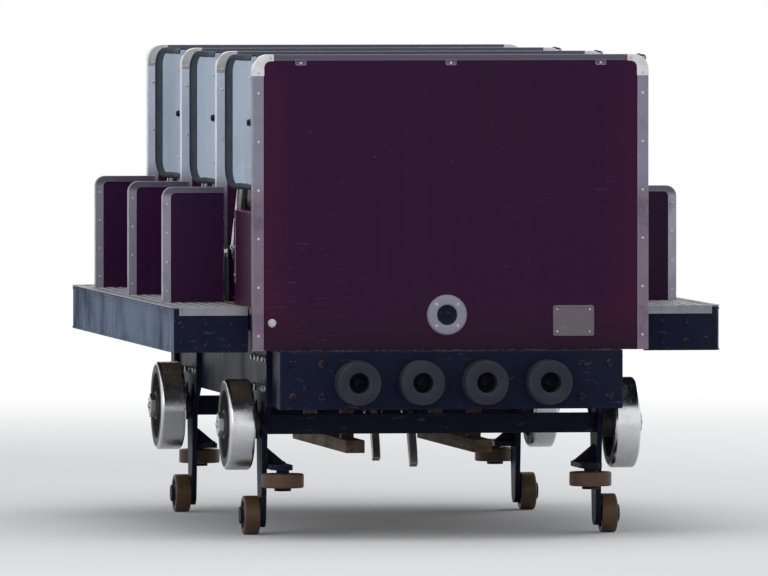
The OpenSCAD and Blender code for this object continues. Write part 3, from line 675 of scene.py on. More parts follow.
class Shape:
    """A mesh in the making, with the ways of working that the pieces share."""

    def __init__(self) -> None:
        """Starts empty."""
        self.bm = bmesh.new()

    @classmethod
    def of_node(cls, node: str) -> "Shape":
        """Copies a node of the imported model, merged and with its flat faces joined.

        Args:
            node: The node's name.

        Returns:
            The copy.
        """
        shape, mesh = cls(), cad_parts[node].data
        verts = [shape.bm.verts.new(v.co) for v in mesh.vertices]
        for polygon in mesh.polygons:
            shape.bm.faces.new([verts[k] for k in polygon.vertices])
        bmesh.ops.remove_doubles(shape.bm, verts=shape.bm.verts, dist=1e-5)
        bmesh.ops.dissolve_limit(shape.bm, angle_limit=math.radians(0.6),
                                 verts=shape.bm.verts, edges=shape.bm.edges)
        return shape

    def ring(self, points: Iterable[Point]) -> list[bmesh.types.BMVert]:
        """Adds a ring of loose points."""
        return [self.bm.verts.new(p) for p in points]

    def prism(self, outline: Sequence[Flat], near: float, far: float,
              plane: Plane) -> "Shape":
        """Adds a flat outline with a depth.

        Args:
            outline: The closed outline's points.
            near: One end of the depth.
            far: Its other end.
            plane: How the outline stands.

        Returns:
            This shape.
        """
        first, last = (self.ring(stand(p, d, plane) for p in outline)
                       for d in sorted((near, far)))
        self.bm.faces.new(first)
        self.bm.faces.new(last[::-1])
        for k in range(len(outline)):
            self.bm.faces.new((first[k], first[k - 1], last[k - 1], last[k]))
        return self

    def skin(self, rings: list[list[bmesh.types.BMVert]], closed: bool = False) -> "Shape":
        """Joins rings of points into one skin.

        Args:
            rings: The rings, each of the same number of points, or of one point at a pole.
            closed: Whether the last ring is joined to the first.

        Returns:
            This shape.
        """
        count = max(len(ring) for ring in rings)
        full = [ring * count if len(ring) == 1 else ring for ring in rings]
        for a, b in [*zip(full, full[1:]), *([(full[-1], full[0])] if closed else [])]:
            for k in range(count):
                corners = list(dict.fromkeys((a[k - 1], a[k], b[k], b[k - 1])))
                if len(corners) > 2:
                    self.bm.faces.new(corners)
        for ring in () if closed else (rings[0], rings[-1]):
            if len(ring) > 2:
                self.bm.faces.new(ring)
        return self

    def lathe(self, profile: Sequence[Flat], centre: Point, axis: Axis,
              segments: int = 40, closed: bool = False) -> "Shape":
        """Turns a profile about an axis.

        Args:
            profile: Points of radius and height. A radius of zero is a pole.
            centre: The point of the axis at height zero.
            axis: The direction of the height.
            segments: Faces round the axis.
            closed: Whether the profile is a closed loop, as in a ring.

        Returns:
            This shape.
        """
        spin = Vector((0, 0, 1)).rotation_difference(Vector(axis.value)).to_matrix()
        return self.skin([self.ring(
            Vector(centre) + spin @ Vector((r * math.cos(a), r * math.sin(a), height))
            for a in turns(segments if r > 1e-7 else 1)) for r, height in profile], closed)

    def tube(self, path: Sequence[Vector], radius: float | Callable[[int], float],
             sides: int = 16, closed: bool = False) -> "Shape":
        """Adds a round tube along a path.

        Args:
            path: The points of its middle line.
            radius: Its radius, or a function that gives it for each point.
            sides: Faces round it.
            closed: Whether it is a ring.

        Returns:
            This shape.
        """
        points, rings, side = [Vector(p) for p in path], [], None
        before = [points[-1 if closed else 0], *points[:-1]]
        after = [*points[1:], points[0 if closed else -1]]
        for k, (point, a, b) in enumerate(zip(points, before, after)):
            tangent = (b - a).normalized()
            side = side or tangent.orthogonal().normalized()
            side = (side - tangent * side.dot(tangent)).normalized()
            up = tangent.cross(side)
            size = radius(k) if callable(radius) else radius
            rings.append(self.ring(point + size * (side * math.cos(s) + up * math.sin(s))
                                   for s in turns(sides)))
        return self.skin(rings, closed)

    def piece(self, name: str, edge: float = 0.0, segments: int = 2,
              angle: float = 30.0) -> bpy.types.Object:
        """Ends the shape as an object.

        Args:
            name: The piece's name.
            edge: Width of the rounding on its edges.
            segments: Faces across that rounding.
            angle: Edges sharper than this are rounded, in degrees.

        Returns:
            The piece.
        """
        bmesh.ops.remove_doubles(self.bm, verts=self.bm.verts, dist=1e-6)
        bmesh.ops.recalc_face_normals(self.bm, faces=self.bm.faces)
        mesh = bpy.data.meshes.new(name)
        self.bm.to_mesh(mesh)
        self.bm.free()
        mesh.shade_smooth()
        mesh.set_sharp_from_angle(angle=math.radians(60.0 if edge else 34.0))
        piece = add_object(name, mesh)
        if not edge:
            return piece
        bevel = piece.modifiers.new("edges", "BEVEL")
        bevel.width, bevel.segments = edge, segments
        bevel.limit_method, bevel.angle_limit = "ANGLE", math.radians(angle)
        bevel.use_clamp_overlap = True
        piece.modifiers.new("shading", "WEIGHTED_NORMAL").keep_sharp = True
        return bake(piece)


class GeometryRecipe(NodeSheet):
    """A Geometry Nodes tree that sets copies of a pattern, run on a mesh and then baked."""

    def __init__(self, name: str, **inputs: str) -> None:
        """Makes the tree and its inputs.

        Args:
            name: The tree's name.
            inputs: Kind of socket by the input's name.
        """
        super().__init__(bpy.data.node_groups.new(name, "GeometryNodeTree"))
        face = self.tree.interface
        for way in ("INPUT", "OUTPUT"):
            face.new_socket("Geometry", in_out=way, socket_type="NodeSocketGeometry")
        inputs |= {"Pattern": "Object", "Finish": "Material"}
        self.keys = {label: face.new_socket(label, in_out="INPUT",
                                            socket_type=f"NodeSocket{kind}").identifier
                     for label, kind in inputs.items()}
        entry = self.tree.nodes.new("NodeGroupInput")
        self.given = {s.name: Wire(self, s) for s in entry.outputs}

    def about_z(self, angle: Wire) -> Wire:
        """Makes a turn about the third axis."""
        return self.add("FunctionNodeEulerToRotation", {}, {
            0: self.add("ShaderNodeCombineXYZ", {}, {"Z": angle})})

    def copy_to(self, points: Wire, turn: Wire, size: Wire | Point = (1, 1, 1)) -> None:
        """Sets the pattern on points, as real meshes with their material, and ends the tree.

        Args:
            points: The points.
            turn: How each copy is turned.
            size: How each copy is scaled.
        """
        pattern = self.add("GeometryNodeObjectInfo", {}, {"Object": self.given["Pattern"]},
                           "Geometry")
        placed = self.add("GeometryNodeInstanceOnPoints", {}, {
            "Points": points, "Instance": pattern, "Rotation": turn, "Scale": size})
        real = self.add("GeometryNodeRealizeInstances", {}, {"Geometry": placed})
        dressed = self.add("GeometryNodeSetMaterial", {}, {
            "Geometry": real, "Material": self.given["Finish"]})
        exit_node = self.tree.nodes.new("NodeGroupOutput")
        self.tree.links.new(dressed.socket, exit_node.inputs[0])

    def run(self, name: str, mesh: bpy.types.Mesh, pattern: bpy.types.Object,
            finish: Finish, **values: int | float | Point) -> bpy.types.Object:
        """Runs the tree on a mesh.

        Args:
            name: Name of the piece that comes out.
            mesh: What the tree works on.
            pattern: What it copies.
            finish: The copies' finish.
            values: Values by the other inputs' names.

        Returns:
            The piece, as a plain mesh.
        """
        piece = add_object(name, mesh)
        modifier = piece.modifiers.new("recipe", "NODES")
        modifier.node_group = self.tree
        values |= {"Pattern": pattern, "Finish": finish.material()}
        for label, value in values.items():
            modifier[self.keys[label]] = value
        return bake(piece)


class Workshop:
    """Tools that the sub-assemblies share: fasteners, fields of bars and stitches."""

    def __init__(self) -> None:
        """Makes the three trees, and a small pattern for each kind of head and a stitch."""
        self.heads = self.head_recipe()
        self.bars = self.bar_recipe()
        self.stitches = self.stitch_recipe()
        self.patterns = {}
        for head in Head:
            profile, faces = head.value
            shape = Shape().lathe(profile, ORIGIN, Axis.UP, faces)
            if head is Head.HEX:
                shape.lathe(HEXAGON, ORIGIN, Axis.UP, 6)
            self.keep(head, shape)
        self.keep("stitch", Shape().lathe(STITCH, ORIGIN, Axis.RIGHT, 6))

    def keep(self, key: Head | str, shape: Shape) -> None:
        """Keeps a hidden pattern, which stands on its seat."""
        label = key.name.lower() if isinstance(key, Head) else key
        self.patterns[key] = shape.piece(f"pattern_{label}")
        self.patterns[key].hide_render = True

    @staticmethod
    def head_recipe() -> GeometryRecipe:
        """Makes the tree that sets heads on points, each turned at random on its seat.

        Returns:
            The tree.
        """
        r = GeometryRecipe("fasteners_on_points", Size="Float", Seed="Int")
        facing = r.add("GeometryNodeInputNamedAttribute", {"data_type": "FLOAT_VECTOR"},
                       {"Name": "facing"})
        upright = r.add("FunctionNodeAlignRotationToVector", {"axis": "Z"},
                        {"Vector": facing})
        spin = r.add("FunctionNodeRandomValue", {"data_type": "FLOAT"},
                     {"Min": 0.0, "Max": math.tau, "Seed": r.given["Seed"]})
        turned = r.add("FunctionNodeRotateRotation", {"rotation_space": "LOCAL"},
                       {0: upright, 1: r.about_z(spin)})
        size = r.add("ShaderNodeCombineXYZ", {}, dict.fromkeys("XYZ", r.given["Size"]))
        r.copy_to(r.given["Geometry"], turned, size)
        return r

    @staticmethod
    def bar_recipe() -> GeometryRecipe:
        """Makes the tree that lays a grid of bars, which lean by turns to each side.

        Returns:
            The tree.
        """
        r = GeometryRecipe("bars_on_a_plate", Middle="Vector", Width="Float",
                           Length="Float", Columns="Int", Lines="Int", Lean="Float")
        grid = r.add("GeometryNodeMeshGrid", {}, {
            "Size X": r.given["Width"], "Size Y": r.given["Length"],
            "Vertices X": r.given["Columns"], "Vertices Y": r.given["Lines"]})
        index, lines = r.add("GeometryNodeInputIndex"), r.given["Lines"]
        column = r.math("FLOOR", index / lines)
        parity = r.math("MODULO", index - lines * column + column, 2.0)
        points = r.add("GeometryNodeTransform", {}, {
            "Geometry": grid, "Translation": r.given["Middle"]})
        r.copy_to(points, r.about_z((parity * 2.0 - 1.0) * r.given["Lean"]))
        return r

    @staticmethod
    def stitch_recipe() -> GeometryRecipe:
        """Makes the tree that spaces stitches along lines of edges.

        Returns:
            The tree.
        """
        r = GeometryRecipe("stitches_on_a_line", Spacing="Float")
        curve = r.add("GeometryNodeMeshToCurve", {}, {"Mesh": r.given["Geometry"]})
        even = r.add("GeometryNodeResampleCurve", {"mode": "LENGTH"},
                     {"Curve": curve, "Length": r.given["Spacing"]})
        r.copy_to(even, r.add("FunctionNodeAlignRotationToVector", {"axis": "X"},
                              {"Vector": r.add("GeometryNodeInputTangent")}))
        return r

    def sew(self, name: str, lines: Sequence[Sequence[Vector]],
            finish: Finish) -> bpy.types.Object:
        """Sews along one or more lines.

        Args:
            name: The piece's name.
            lines: Points of each line.
            finish: The thread's finish.

        Returns:
            One mesh with all the stitches.
        """
        mesh = bpy.data.meshes.new(name)
        points, edges = [], []
        for line in lines:
            edges += [(len(points) + k, len(points) + k + 1) for k in range(len(line) - 1)]
            points += [tuple(p) for p in line]
        mesh.from_pydata(points, edges, [])
        return self.stitches.run(name, mesh, self.patterns["stitch"], finish,
                                 Spacing=STITCH_PITCH)

    def clear(self) -> None:
        """Takes every pattern out of the scene."""
        for pattern in self.patterns.values():
            bpy.data.objects.remove(pattern)


@dataclass
class SubAssembly:
    """Common work of the car's sub-assemblies."""

    shop: Workshop

    def build(self) -> None:
        """Builds and dresses every piece of the sub-assembly."""
        raise NotImplementedError

    def dress(self, piece: bpy.types.Object, *finishes: Finish) -> None:
        """Gives a piece or a node its materials.

        Args:
            piece: The piece.
            finishes: Its finishes.
        """
        piece.data.materials.clear()
        for finish in finishes:
            piece.data.materials.append(finish.material())

    def hand_over(self, piece: bpy.types.Object, *finishes: Finish, body: str = "car_body",
                  stands_for: Sequence[str] = (), fill: float | None = None) -> None:
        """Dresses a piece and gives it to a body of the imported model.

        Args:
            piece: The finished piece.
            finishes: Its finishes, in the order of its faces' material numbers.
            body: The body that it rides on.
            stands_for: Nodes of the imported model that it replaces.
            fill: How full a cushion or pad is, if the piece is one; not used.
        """
        self.dress(piece, *finishes)
        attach(piece, body)
        if stands_for:
            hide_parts(*stands_for)
        LOG.info("%s: %s on %s, %d faces", type(self).__name__, piece.name, body,
                 len(piece.data.polygons))

    def make(self, name: str, shape: Shape, *finishes: Finish, edge: float = 0.0,
             segments: int = 2, angle: float = 30.0,
             sort: Callable[[Vector, Vector], int] | None = None, **facts: str) -> None:
        """Ends a shape as a piece and hands it over.

        Args:
            name: The piece's name.
            shape: The shape.
            finishes: The piece's finishes.
            edge: Width of the rounding on its edges.
            segments: Faces across that rounding.
            angle: Edges sharper than this are rounded, in degrees.
            sort: Rule that gives a face's finish from its middle and normal.
            facts: What hand_over takes besides.
        """
        piece = shape.piece(name, edge, segments, angle)
        self.hand_over(piece, *finishes, **facts)
        for polygon in piece.data.polygons if sort else ():
            polygon.material_index = sort(polygon.center, polygon.normal)

    def keep_node(self, node: str, finish: Finish) -> None:
        """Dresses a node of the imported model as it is."""
        self.dress(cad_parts[node], finish)
        LOG.info("%s: node %s", type(self).__name__, node)

    def refine(self, node: str, name: str, *finishes: Finish, edge: float = 0.002,
               **facts: str | Callable) -> None:
        """Replaces a node by its merged copy with rounded edges, under a new name."""
        self.make(name, Shape.of_node(node), *finishes, edge=edge, stands_for=[node], **facts)

    def fasten(self, name: str, head: Head, radius: float, finish: Finish,
               spots: Sequence[Spot], body: str = "car_body") -> None:
        """Sets fasteners and hands them over.

        Args:
            name: The piece's name.
            head: The kind of head.
            radius: The head's radius.
            finish: Its finish.
            spots: Place and direction of each.
            body: The body that they ride on.
        """
        mesh = bpy.data.meshes.new(name)
        mesh.from_pydata([tuple(place) for place, _ in spots], [], [])
        facing = mesh.attributes.new("facing", "FLOAT_VECTOR", "POINT")
        facing.data.foreach_set("vector", [c for _, way in spots for c in way])
        self.hand_over(self.shop.heads.run(name, mesh, self.shop.patterns[head], finish,
                                           Size=radius, Seed=len(spots)), finish, body=body)

    def weld(self, name: str, seams: Sequence[Spot]) -> None:
        """Lays rippled weld beads along straight seams.

        Args:
            name: The piece's name.
            seams: Both ends of each seam.
        """
        shape, dice = Shape(), random.Random(name)
        for a, b in (map(Vector, seam) for seam in seams):
            count = max(3, int((b - a).length / 0.003))
            path = [a.lerp(b, k / count) for k in range(count + 1)]
            shape.tube(path, lambda k: 0.0032 + 0.0006 * (k % 2) + dice.uniform(0, 0.0004), 6)
        self.make(name, shape, FRAME)


@dataclass
class BodyBoards(SubAssembly):
    """Four upright boards with metal edging, corner caps and screws."""

    corner: float = 0.045
    strip: float = 0.032
    cap: float = 0.016
    metal: float = 0.0025
    sunk: float = 0.0004
    cap_arm: float = 0.066
    cap_gap: float = 0.002
    cap_bend: float = 0.020
    proud: float = 0.0012
    screw_pitch: float = 0.152
    cap_screws: tuple[Flat, Flat] = ((0.016, 0.054), (0.054, 0.008))

    def build(self) -> None:
        """Dresses the boards, and adds edging, caps and screws to each."""
        rear, others, caps, screws = Shape(), Shape(), Shape(), []
        over, out = self.metal - self.sunk, self.metal + self.proud
        for node in BOARDS:
            self.keep_node(node, MAROON)
            lo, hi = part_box(node)
            back, front = lo.y - self.metal, hi.y + self.metal
            outer = arch(hi.x + over, lo.z, hi.z + over, self.corner + over)
            inner = arch(hi.x - self.strip, lo.z, hi.z - self.cap, self.corner / 2)
            (rear if node == BOARDS[0] else others).prism(outer + inner[::-1], back, front,
                                                          Plane.ACROSS)
            for sign in SIGNS:
                caps.prism([(sign * (hi.x + x), hi.z + z) for x, z in self.cap_outline()],
                           lo.y - out, hi.y + out, Plane.ACROSS)
                for z in steps(lo.z + 0.045, hi.z - self.cap_arm - 0.05, self.screw_pitch):
                    screws += both_faces(sign * (hi.x - self.strip / 2), z, back, front)
                for x, z in self.cap_screws:
                    screws += both_faces(sign * (hi.x - x), hi.z - z, lo.y - out, hi.y + out)
        self.make("board_edging_strips", rear, EDGING, edge=0.0009,
                  stands_for=["board_edging"])
        self.make("inner_board_edging_strips", others, INNER_EDGING, edge=0.0009)
        self.make("board_corner_caps", caps, CAPS, edge=0.0012, segments=3)
        self.fasten("board_edging_screws", Head.PAN, 0.0046, ZINC, screws)

    def cap_outline(self) -> list[Flat]:
        """Draws the bright cap over a top corner of a board.

        Returns:
            The closed outline's points, measured from that corner.
        """
        m, arm, bend, r = self.metal, self.cap_arm, self.cap_bend, self.corner + self.metal
        side, down = -self.strip - self.cap_gap, -self.cap - self.cap_gap
        return [(m, m - arm), *arc((m - r, m - r), r, 0, 90, 10), (m - arm, m),
                (m - arm, down), *arc((side - bend, down - bend), bend, 90, 0, 5),
                (side, m - arm)]


@dataclass
class RearFittings(SubAssembly):
    """Plain ring, blank plate, clips and bolt on the rear board."""

    ring_place: Flat = (-0.012, 0.108)
    ring_radii: Flat = (0.062, 0.031)
    ring_rise: float = 0.0100
    plate_place: Flat = (0.380, 0.089)
    plate_size: Flat = (0.127, 0.094)
    border: float = 0.007
    clip_shares: Point = (0.12, 0.50, 0.88)
    clip_size: Flat = (0.034, 0.019)
    clip_rise: float = 0.0048
    bolt_inset: Flat = (0.058, 0.085)

    def build(self) -> None:
        """Builds the fittings on the board's rear face."""
        self.lo, self.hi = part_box("rear_board")
        self.ring()
        self.plate()
        self.clips()
        bolt = (self.lo.x + self.bolt_inset[0], self.lo.y, self.lo.z + self.bolt_inset[1])
        self.fasten("rear_board_bolt", Head.HEX, 0.013, STEEL, [(bolt, Axis.BACK.value)])

    def ring(self) -> None:
        """Turns a raised pale ring round a dark, dished middle."""
        (a, b), (x, up) = self.ring_radii, self.ring_place
        centre, middle = Vector((x, self.lo.y, self.lo.z + up)), (a + b) / 2
        rim = [(b, -0.001), (b, 0.006), (b + 0.003, 0.009), (middle, 0.0105),
               (a - 0.004, 0.009), (a - 0.001, 0.006), (a, 0.003), (a, -0.001)]
        self.make("rear_plain_ring", Shape().lathe(rim, centre, Axis.BACK, 72, closed=True),
                  RING)
        dish = [(0, 0.0042), (0.007, 0.0040), (0.009, 0.0015), (b - 0.004, 0.0022),
                (b + 0.0005, 0.0048), (b + 0.0005, -0.001), (0, -0.001)]
        self.make("rear_ring_middle", Shape().lathe(dish, centre, Axis.BACK, 48), FRAME)
        self.fasten("rear_ring_screws", Head.FLAT, 0.0042, ZINC, [
            (centre + Vector((middle * math.cos(t), -self.ring_rise, middle * math.sin(t))),
             Axis.BACK.value) for t in turns(4, 0.5)])

    def plate(self) -> None:
        """Makes a blank plate with a raised border and a rivet in each corner."""
        w, h, rim = self.plate_size[0] / 2, self.plate_size[1] / 2, self.border
        x, y, z = self.plate_place[0], self.lo.y, self.lo.z + self.plate_place[1]
        outline = rounded((x - w, z - h), (x + w, z + h), rim)
        inside = rounded((x - w + rim, z - h + rim), (x + w - rim, z + h - rim), 0.004)
        shape = Shape()
        shape.skin([shape.ring((px, y - rise, pz) for px, pz in points) for points, rise in (
            (outline, -0.0005), (outline, 0.0028), (inside, 0.0034), (inside, 0.0024))])
        self.make("rear_blank_plate", shape, PLATE, edge=0.0005)
        self.fasten("rear_plate_rivets", Head.DOME, 0.0036, ZINC, [
            ((x + sx * (w - 0.013), y - 0.0024, z + sz * (h - 0.013)), Axis.BACK.value)
            for sx in (-1, 1) for sz in (-1, 1)])

    def clips(self) -> None:
        """Hooks small clips over the top edging, with a screw in each."""
        shape, spots, face = Shape(), [], self.lo.y - self.clip_rise
        half, drop, top = self.clip_size[0] / 2, self.clip_size[1], self.hi.z - 0.012
        for share in self.clip_shares:
            x = self.lo.x + share * (self.hi.x - self.lo.x)
            shape.prism(rounded((x - half, top - drop), (x + half, top), 0.004, 3), face,
                        self.lo.y + 0.001, Plane.ACROSS)
            spots.append(((x, face, top - drop * 0.62), Axis.BACK.value))
        self.make("rear_board_clips", shape, EDGING, edge=0.0009)
        self.fasten("rear_clip_screws", Head.PAN, 0.0040, ZINC, spots)


@dataclass
class SideEars(SubAssembly):
    """Pale panels beside the riders' shoulders, which flare out at the front."""

    depth: float = 0.300
    height: float = 0.404
    thick: float = 0.016
    flat: float = 0.130
    flare: float = 0.040
    corner: float = 0.060
    blend: float = 0.055
    top_gap: float = 0.004
    back_gap: float = 0.0025
    guard: float = 0.062
    guard_lap: float = 0.010
    guard_start: float = 0.012
    proud: float = 0.0014
    bead: float = 0.0112
    bead_inset: float = 0.0060
    screw_inset: float = 0.036
    screw_shares: tuple[float, float, float] = (0.16, 0.5, 0.84)

    def build(self) -> None:
        """Builds a pair of ears on each of the three seat backs."""
        ears, rims, guards, bolts, screws = Shape(), Shape(), Shape(), [], []
        for node in BOARDS[:3]:
            lo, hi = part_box(node)
            self.at = corner = Vector((hi.x, hi.y + self.back_gap, hi.z - self.top_gap))
            for sign in SIGNS:
                self.sign = sign
                self.sheet(ears, self.outline(), 0.0)
                self.sheet(guards, self.guard_outline(), self.proud)
                self.rim(rims)
                for share in self.screw_shares:
                    y, z = corner.y + self.screw_inset, corner.z - self.height * share
                    outer = ((sign * corner.x, y, z), out_of(sign))
                    (bolts if share == 0.5 else screws).append(outer)
                    screws.append(((sign * (corner.x - self.thick), y, z), out_of(-sign)))
        self.make("side_ear_panels", ears, PALE, edge=0.003, segments=3, angle=40.0,
                  stands_for=["side_ears"])
        self.make("side_ear_rims", rims, TRIM)
        self.make("side_ear_edge_guards", guards, TRIM, edge=0.0006)
        self.fasten("side_ear_bolts", Head.HEX, 0.0120, FRAME, bolts)
        self.fasten("side_ear_screws", Head.PAN, 0.0065, ZINC, screws)

    def bend(self, forward: float) -> float:
        """Gives how far the panel stands out at a distance forward of the board.

        Args:
            forward: That distance.

        Returns:
            The distance outboard.
        """
        slope = self.flare / (self.depth - self.flat)
        t = (forward - self.flat + self.blend) / (2 * self.blend)
        if t >= 1:
            return slope * (forward - self.flat)
        return slope * self.blend * max(0.0, t) ** 2

    def outline(self) -> list[Flat]:
        """Draws the panel flat, as distance forward and height below the top."""
        return [(0, 0), (0, -self.height), *self.free_end(0.0)]

    def free_end(self, inset: float) -> list[Flat]:
        """Draws the round corners of the panel's free end, from below, with an inset."""
        d, h, r = self.depth - inset, self.height - inset, self.corner - inset
        return [*arc((d - r, r - h), r, -90, 0, 10), *arc((d - r, -r - inset), r, 0, 90, 10)]

    def guard_outline(self) -> list[Flat]:
        """Draws the rubber guard flat: wide down the free edge, narrow above and below.

        Returns:
            The closed outline's points.
        """
        h, lap, start = self.height, self.guard_lap, self.guard_start
        inner, s = self.depth - self.guard, self.corner * 0.7
        return [(start, -h), *self.free_end(0.0), (start, 0), (start, -lap),
                *arc((inner - s, -s - lap), s, 90, 0), *arc((inner - s, s + lap - h), s, 0, -90),
                (start, lap - h)]

    def sheet(self, shape: Shape, flat: Sequence[Flat], proud: float) -> None:
        """Adds one sheet that is bent like the panel.

        Args:
            shape: The shape that it is added to.
            flat: Its outline, as distance forward and height below the top.
            proud: How far it stands off both faces of the panel.
        """
        corner = self.at
        part = Shape().prism([(corner.y + y, corner.z + z) for y, z in flat],
                             corner.x - self.thick - proud, corner.x + proud, Plane.ALONG)
        way = Vector(Axis.FORWARD.value)
        for k in range(11):
            at = corner.y + self.flat - self.blend + k * self.blend / 5
            bmesh.ops.bisect_plane(
                part.bm, geom=[*part.bm.verts, *part.bm.edges, *part.bm.faces],
                plane_co=way * at, plane_no=way)
        for vert in part.bm.verts:
            vert.co.x = self.sign * (vert.co.x + self.bend(vert.co.y - corner.y))
        mesh = bpy.data.meshes.new("ear")
        part.bm.to_mesh(mesh)
        part.bm.free()
        shape.bm.from_mesh(mesh)
        bpy.data.meshes.remove(mesh)

    def rim(self, shape: Shape) -> None:
        """Runs a half-round bead along the panel's free edges.

        Args:
            shape: The shape that it is added to.
        """
        places, inset = (self.guard_start, 0.06, self.flat, 0.2), self.bead_inset
        flat = [*((y, inset - self.height) for y in places), *self.free_end(inset),
                *((y, -inset) for y in reversed(places))]
        x, y0, z0 = self.at - Vector((self.thick / 2, 0, 0))
        path = [Vector((self.sign * (x + self.bend(y)), y0 + y, z0 + z)) for y, z in flat]
        fine = [a.lerp(b, k / 3) for a, b in zip(path, path[1:]) for k in range(3)]
        shape.tube([*fine, path[-1]], self.bead, 14)


@dataclass
class LegGuards(SubAssembly):
    """Upright guards on the running boards, with edging and foot angles."""

    metal: float = 0.0025
    strip: float = 0.024
    cap: float = 0.016
    corner: float = 0.030
    inner: float = 0.613
    foot: float = 0.040
    leaf: float = 0.004
    thick: float = 0.020

    def build(self) -> None:
        """Dresses the guards, and adds their edging, angles and screws."""
        self.keep_node("leg_guards", GUARD_PAINT)
        (_, start, floor), (out, _, top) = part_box("leg_guards")
        strips, angles, screws, bolts = Shape(), Shape(), [], []
        outline, leaf, leg = self.strip_outline(out, top, floor), self.leaf, self.foot
        bent = ((0, 0), (leg, 0), (leg, leaf), (leaf, leaf), (leaf, leg), (0, leg))
        near, far = self.inner + 0.012, out - self.strip - 0.014
        for row in range(len(ROWS)):
            back = start + row * ROW_PITCH
            front = back + self.thick
            faces = back - self.metal, front + self.metal
            for sign in SIGNS:
                strips.prism([(x * sign, z) for x, z in outline], *faces, Plane.ACROSS)
                for z in steps(floor + 0.035, top - 0.05, 0.09):
                    screws += both_faces(sign * (out - self.strip / 2), z, *faces)
                angles.prism([(front + y, floor + z) for y, z in bent], sign * near,
                             sign * far, Plane.ALONG)
                for x in (self.inner + 0.035, (self.inner + out) / 2 - 0.01, out - 0.062):
                    bolts += [((sign * x, front + leg * 0.55, floor + leaf), Axis.UP.value),
                              ((sign * x, front + leaf, floor + leg * 0.6),
                               Axis.FORWARD.value)]
        self.make("leg_guard_edging_strips", strips, GUARD_EDGING, edge=0.0008,
                  stands_for=["guard_edging"])
        self.make("leg_guard_foot_angles", angles, FRAME, edge=0.0010)
        self.fasten("leg_guard_screws", Head.PAN, 0.0040, ZINC, screws)
        self.fasten("leg_guard_bolts", Head.HEX, 0.0080, ZINC, bolts)

    def strip_outline(self, out: float, top: float, foot: float) -> list[Flat]:
        """Draws the strip that wraps a guard's top and outer side.

        Args:
            out: Distance from the middle of the car to the guard's outer side.
            top: Height of its top.
            foot: Height of its foot.

        Returns:
            The closed outline's points.
        """
        t, r, s = self.metal, self.corner + self.metal, self.corner / 2
        side, under = out - self.strip, top - self.cap
        return [(self.inner, top + t), *arc((out + t - r, top + t - r), r, 90, 0),
                (out + t, foot), (side, foot), *arc((side - s, under - s), s, 0, 90, 5),
                (self.inner, under)]


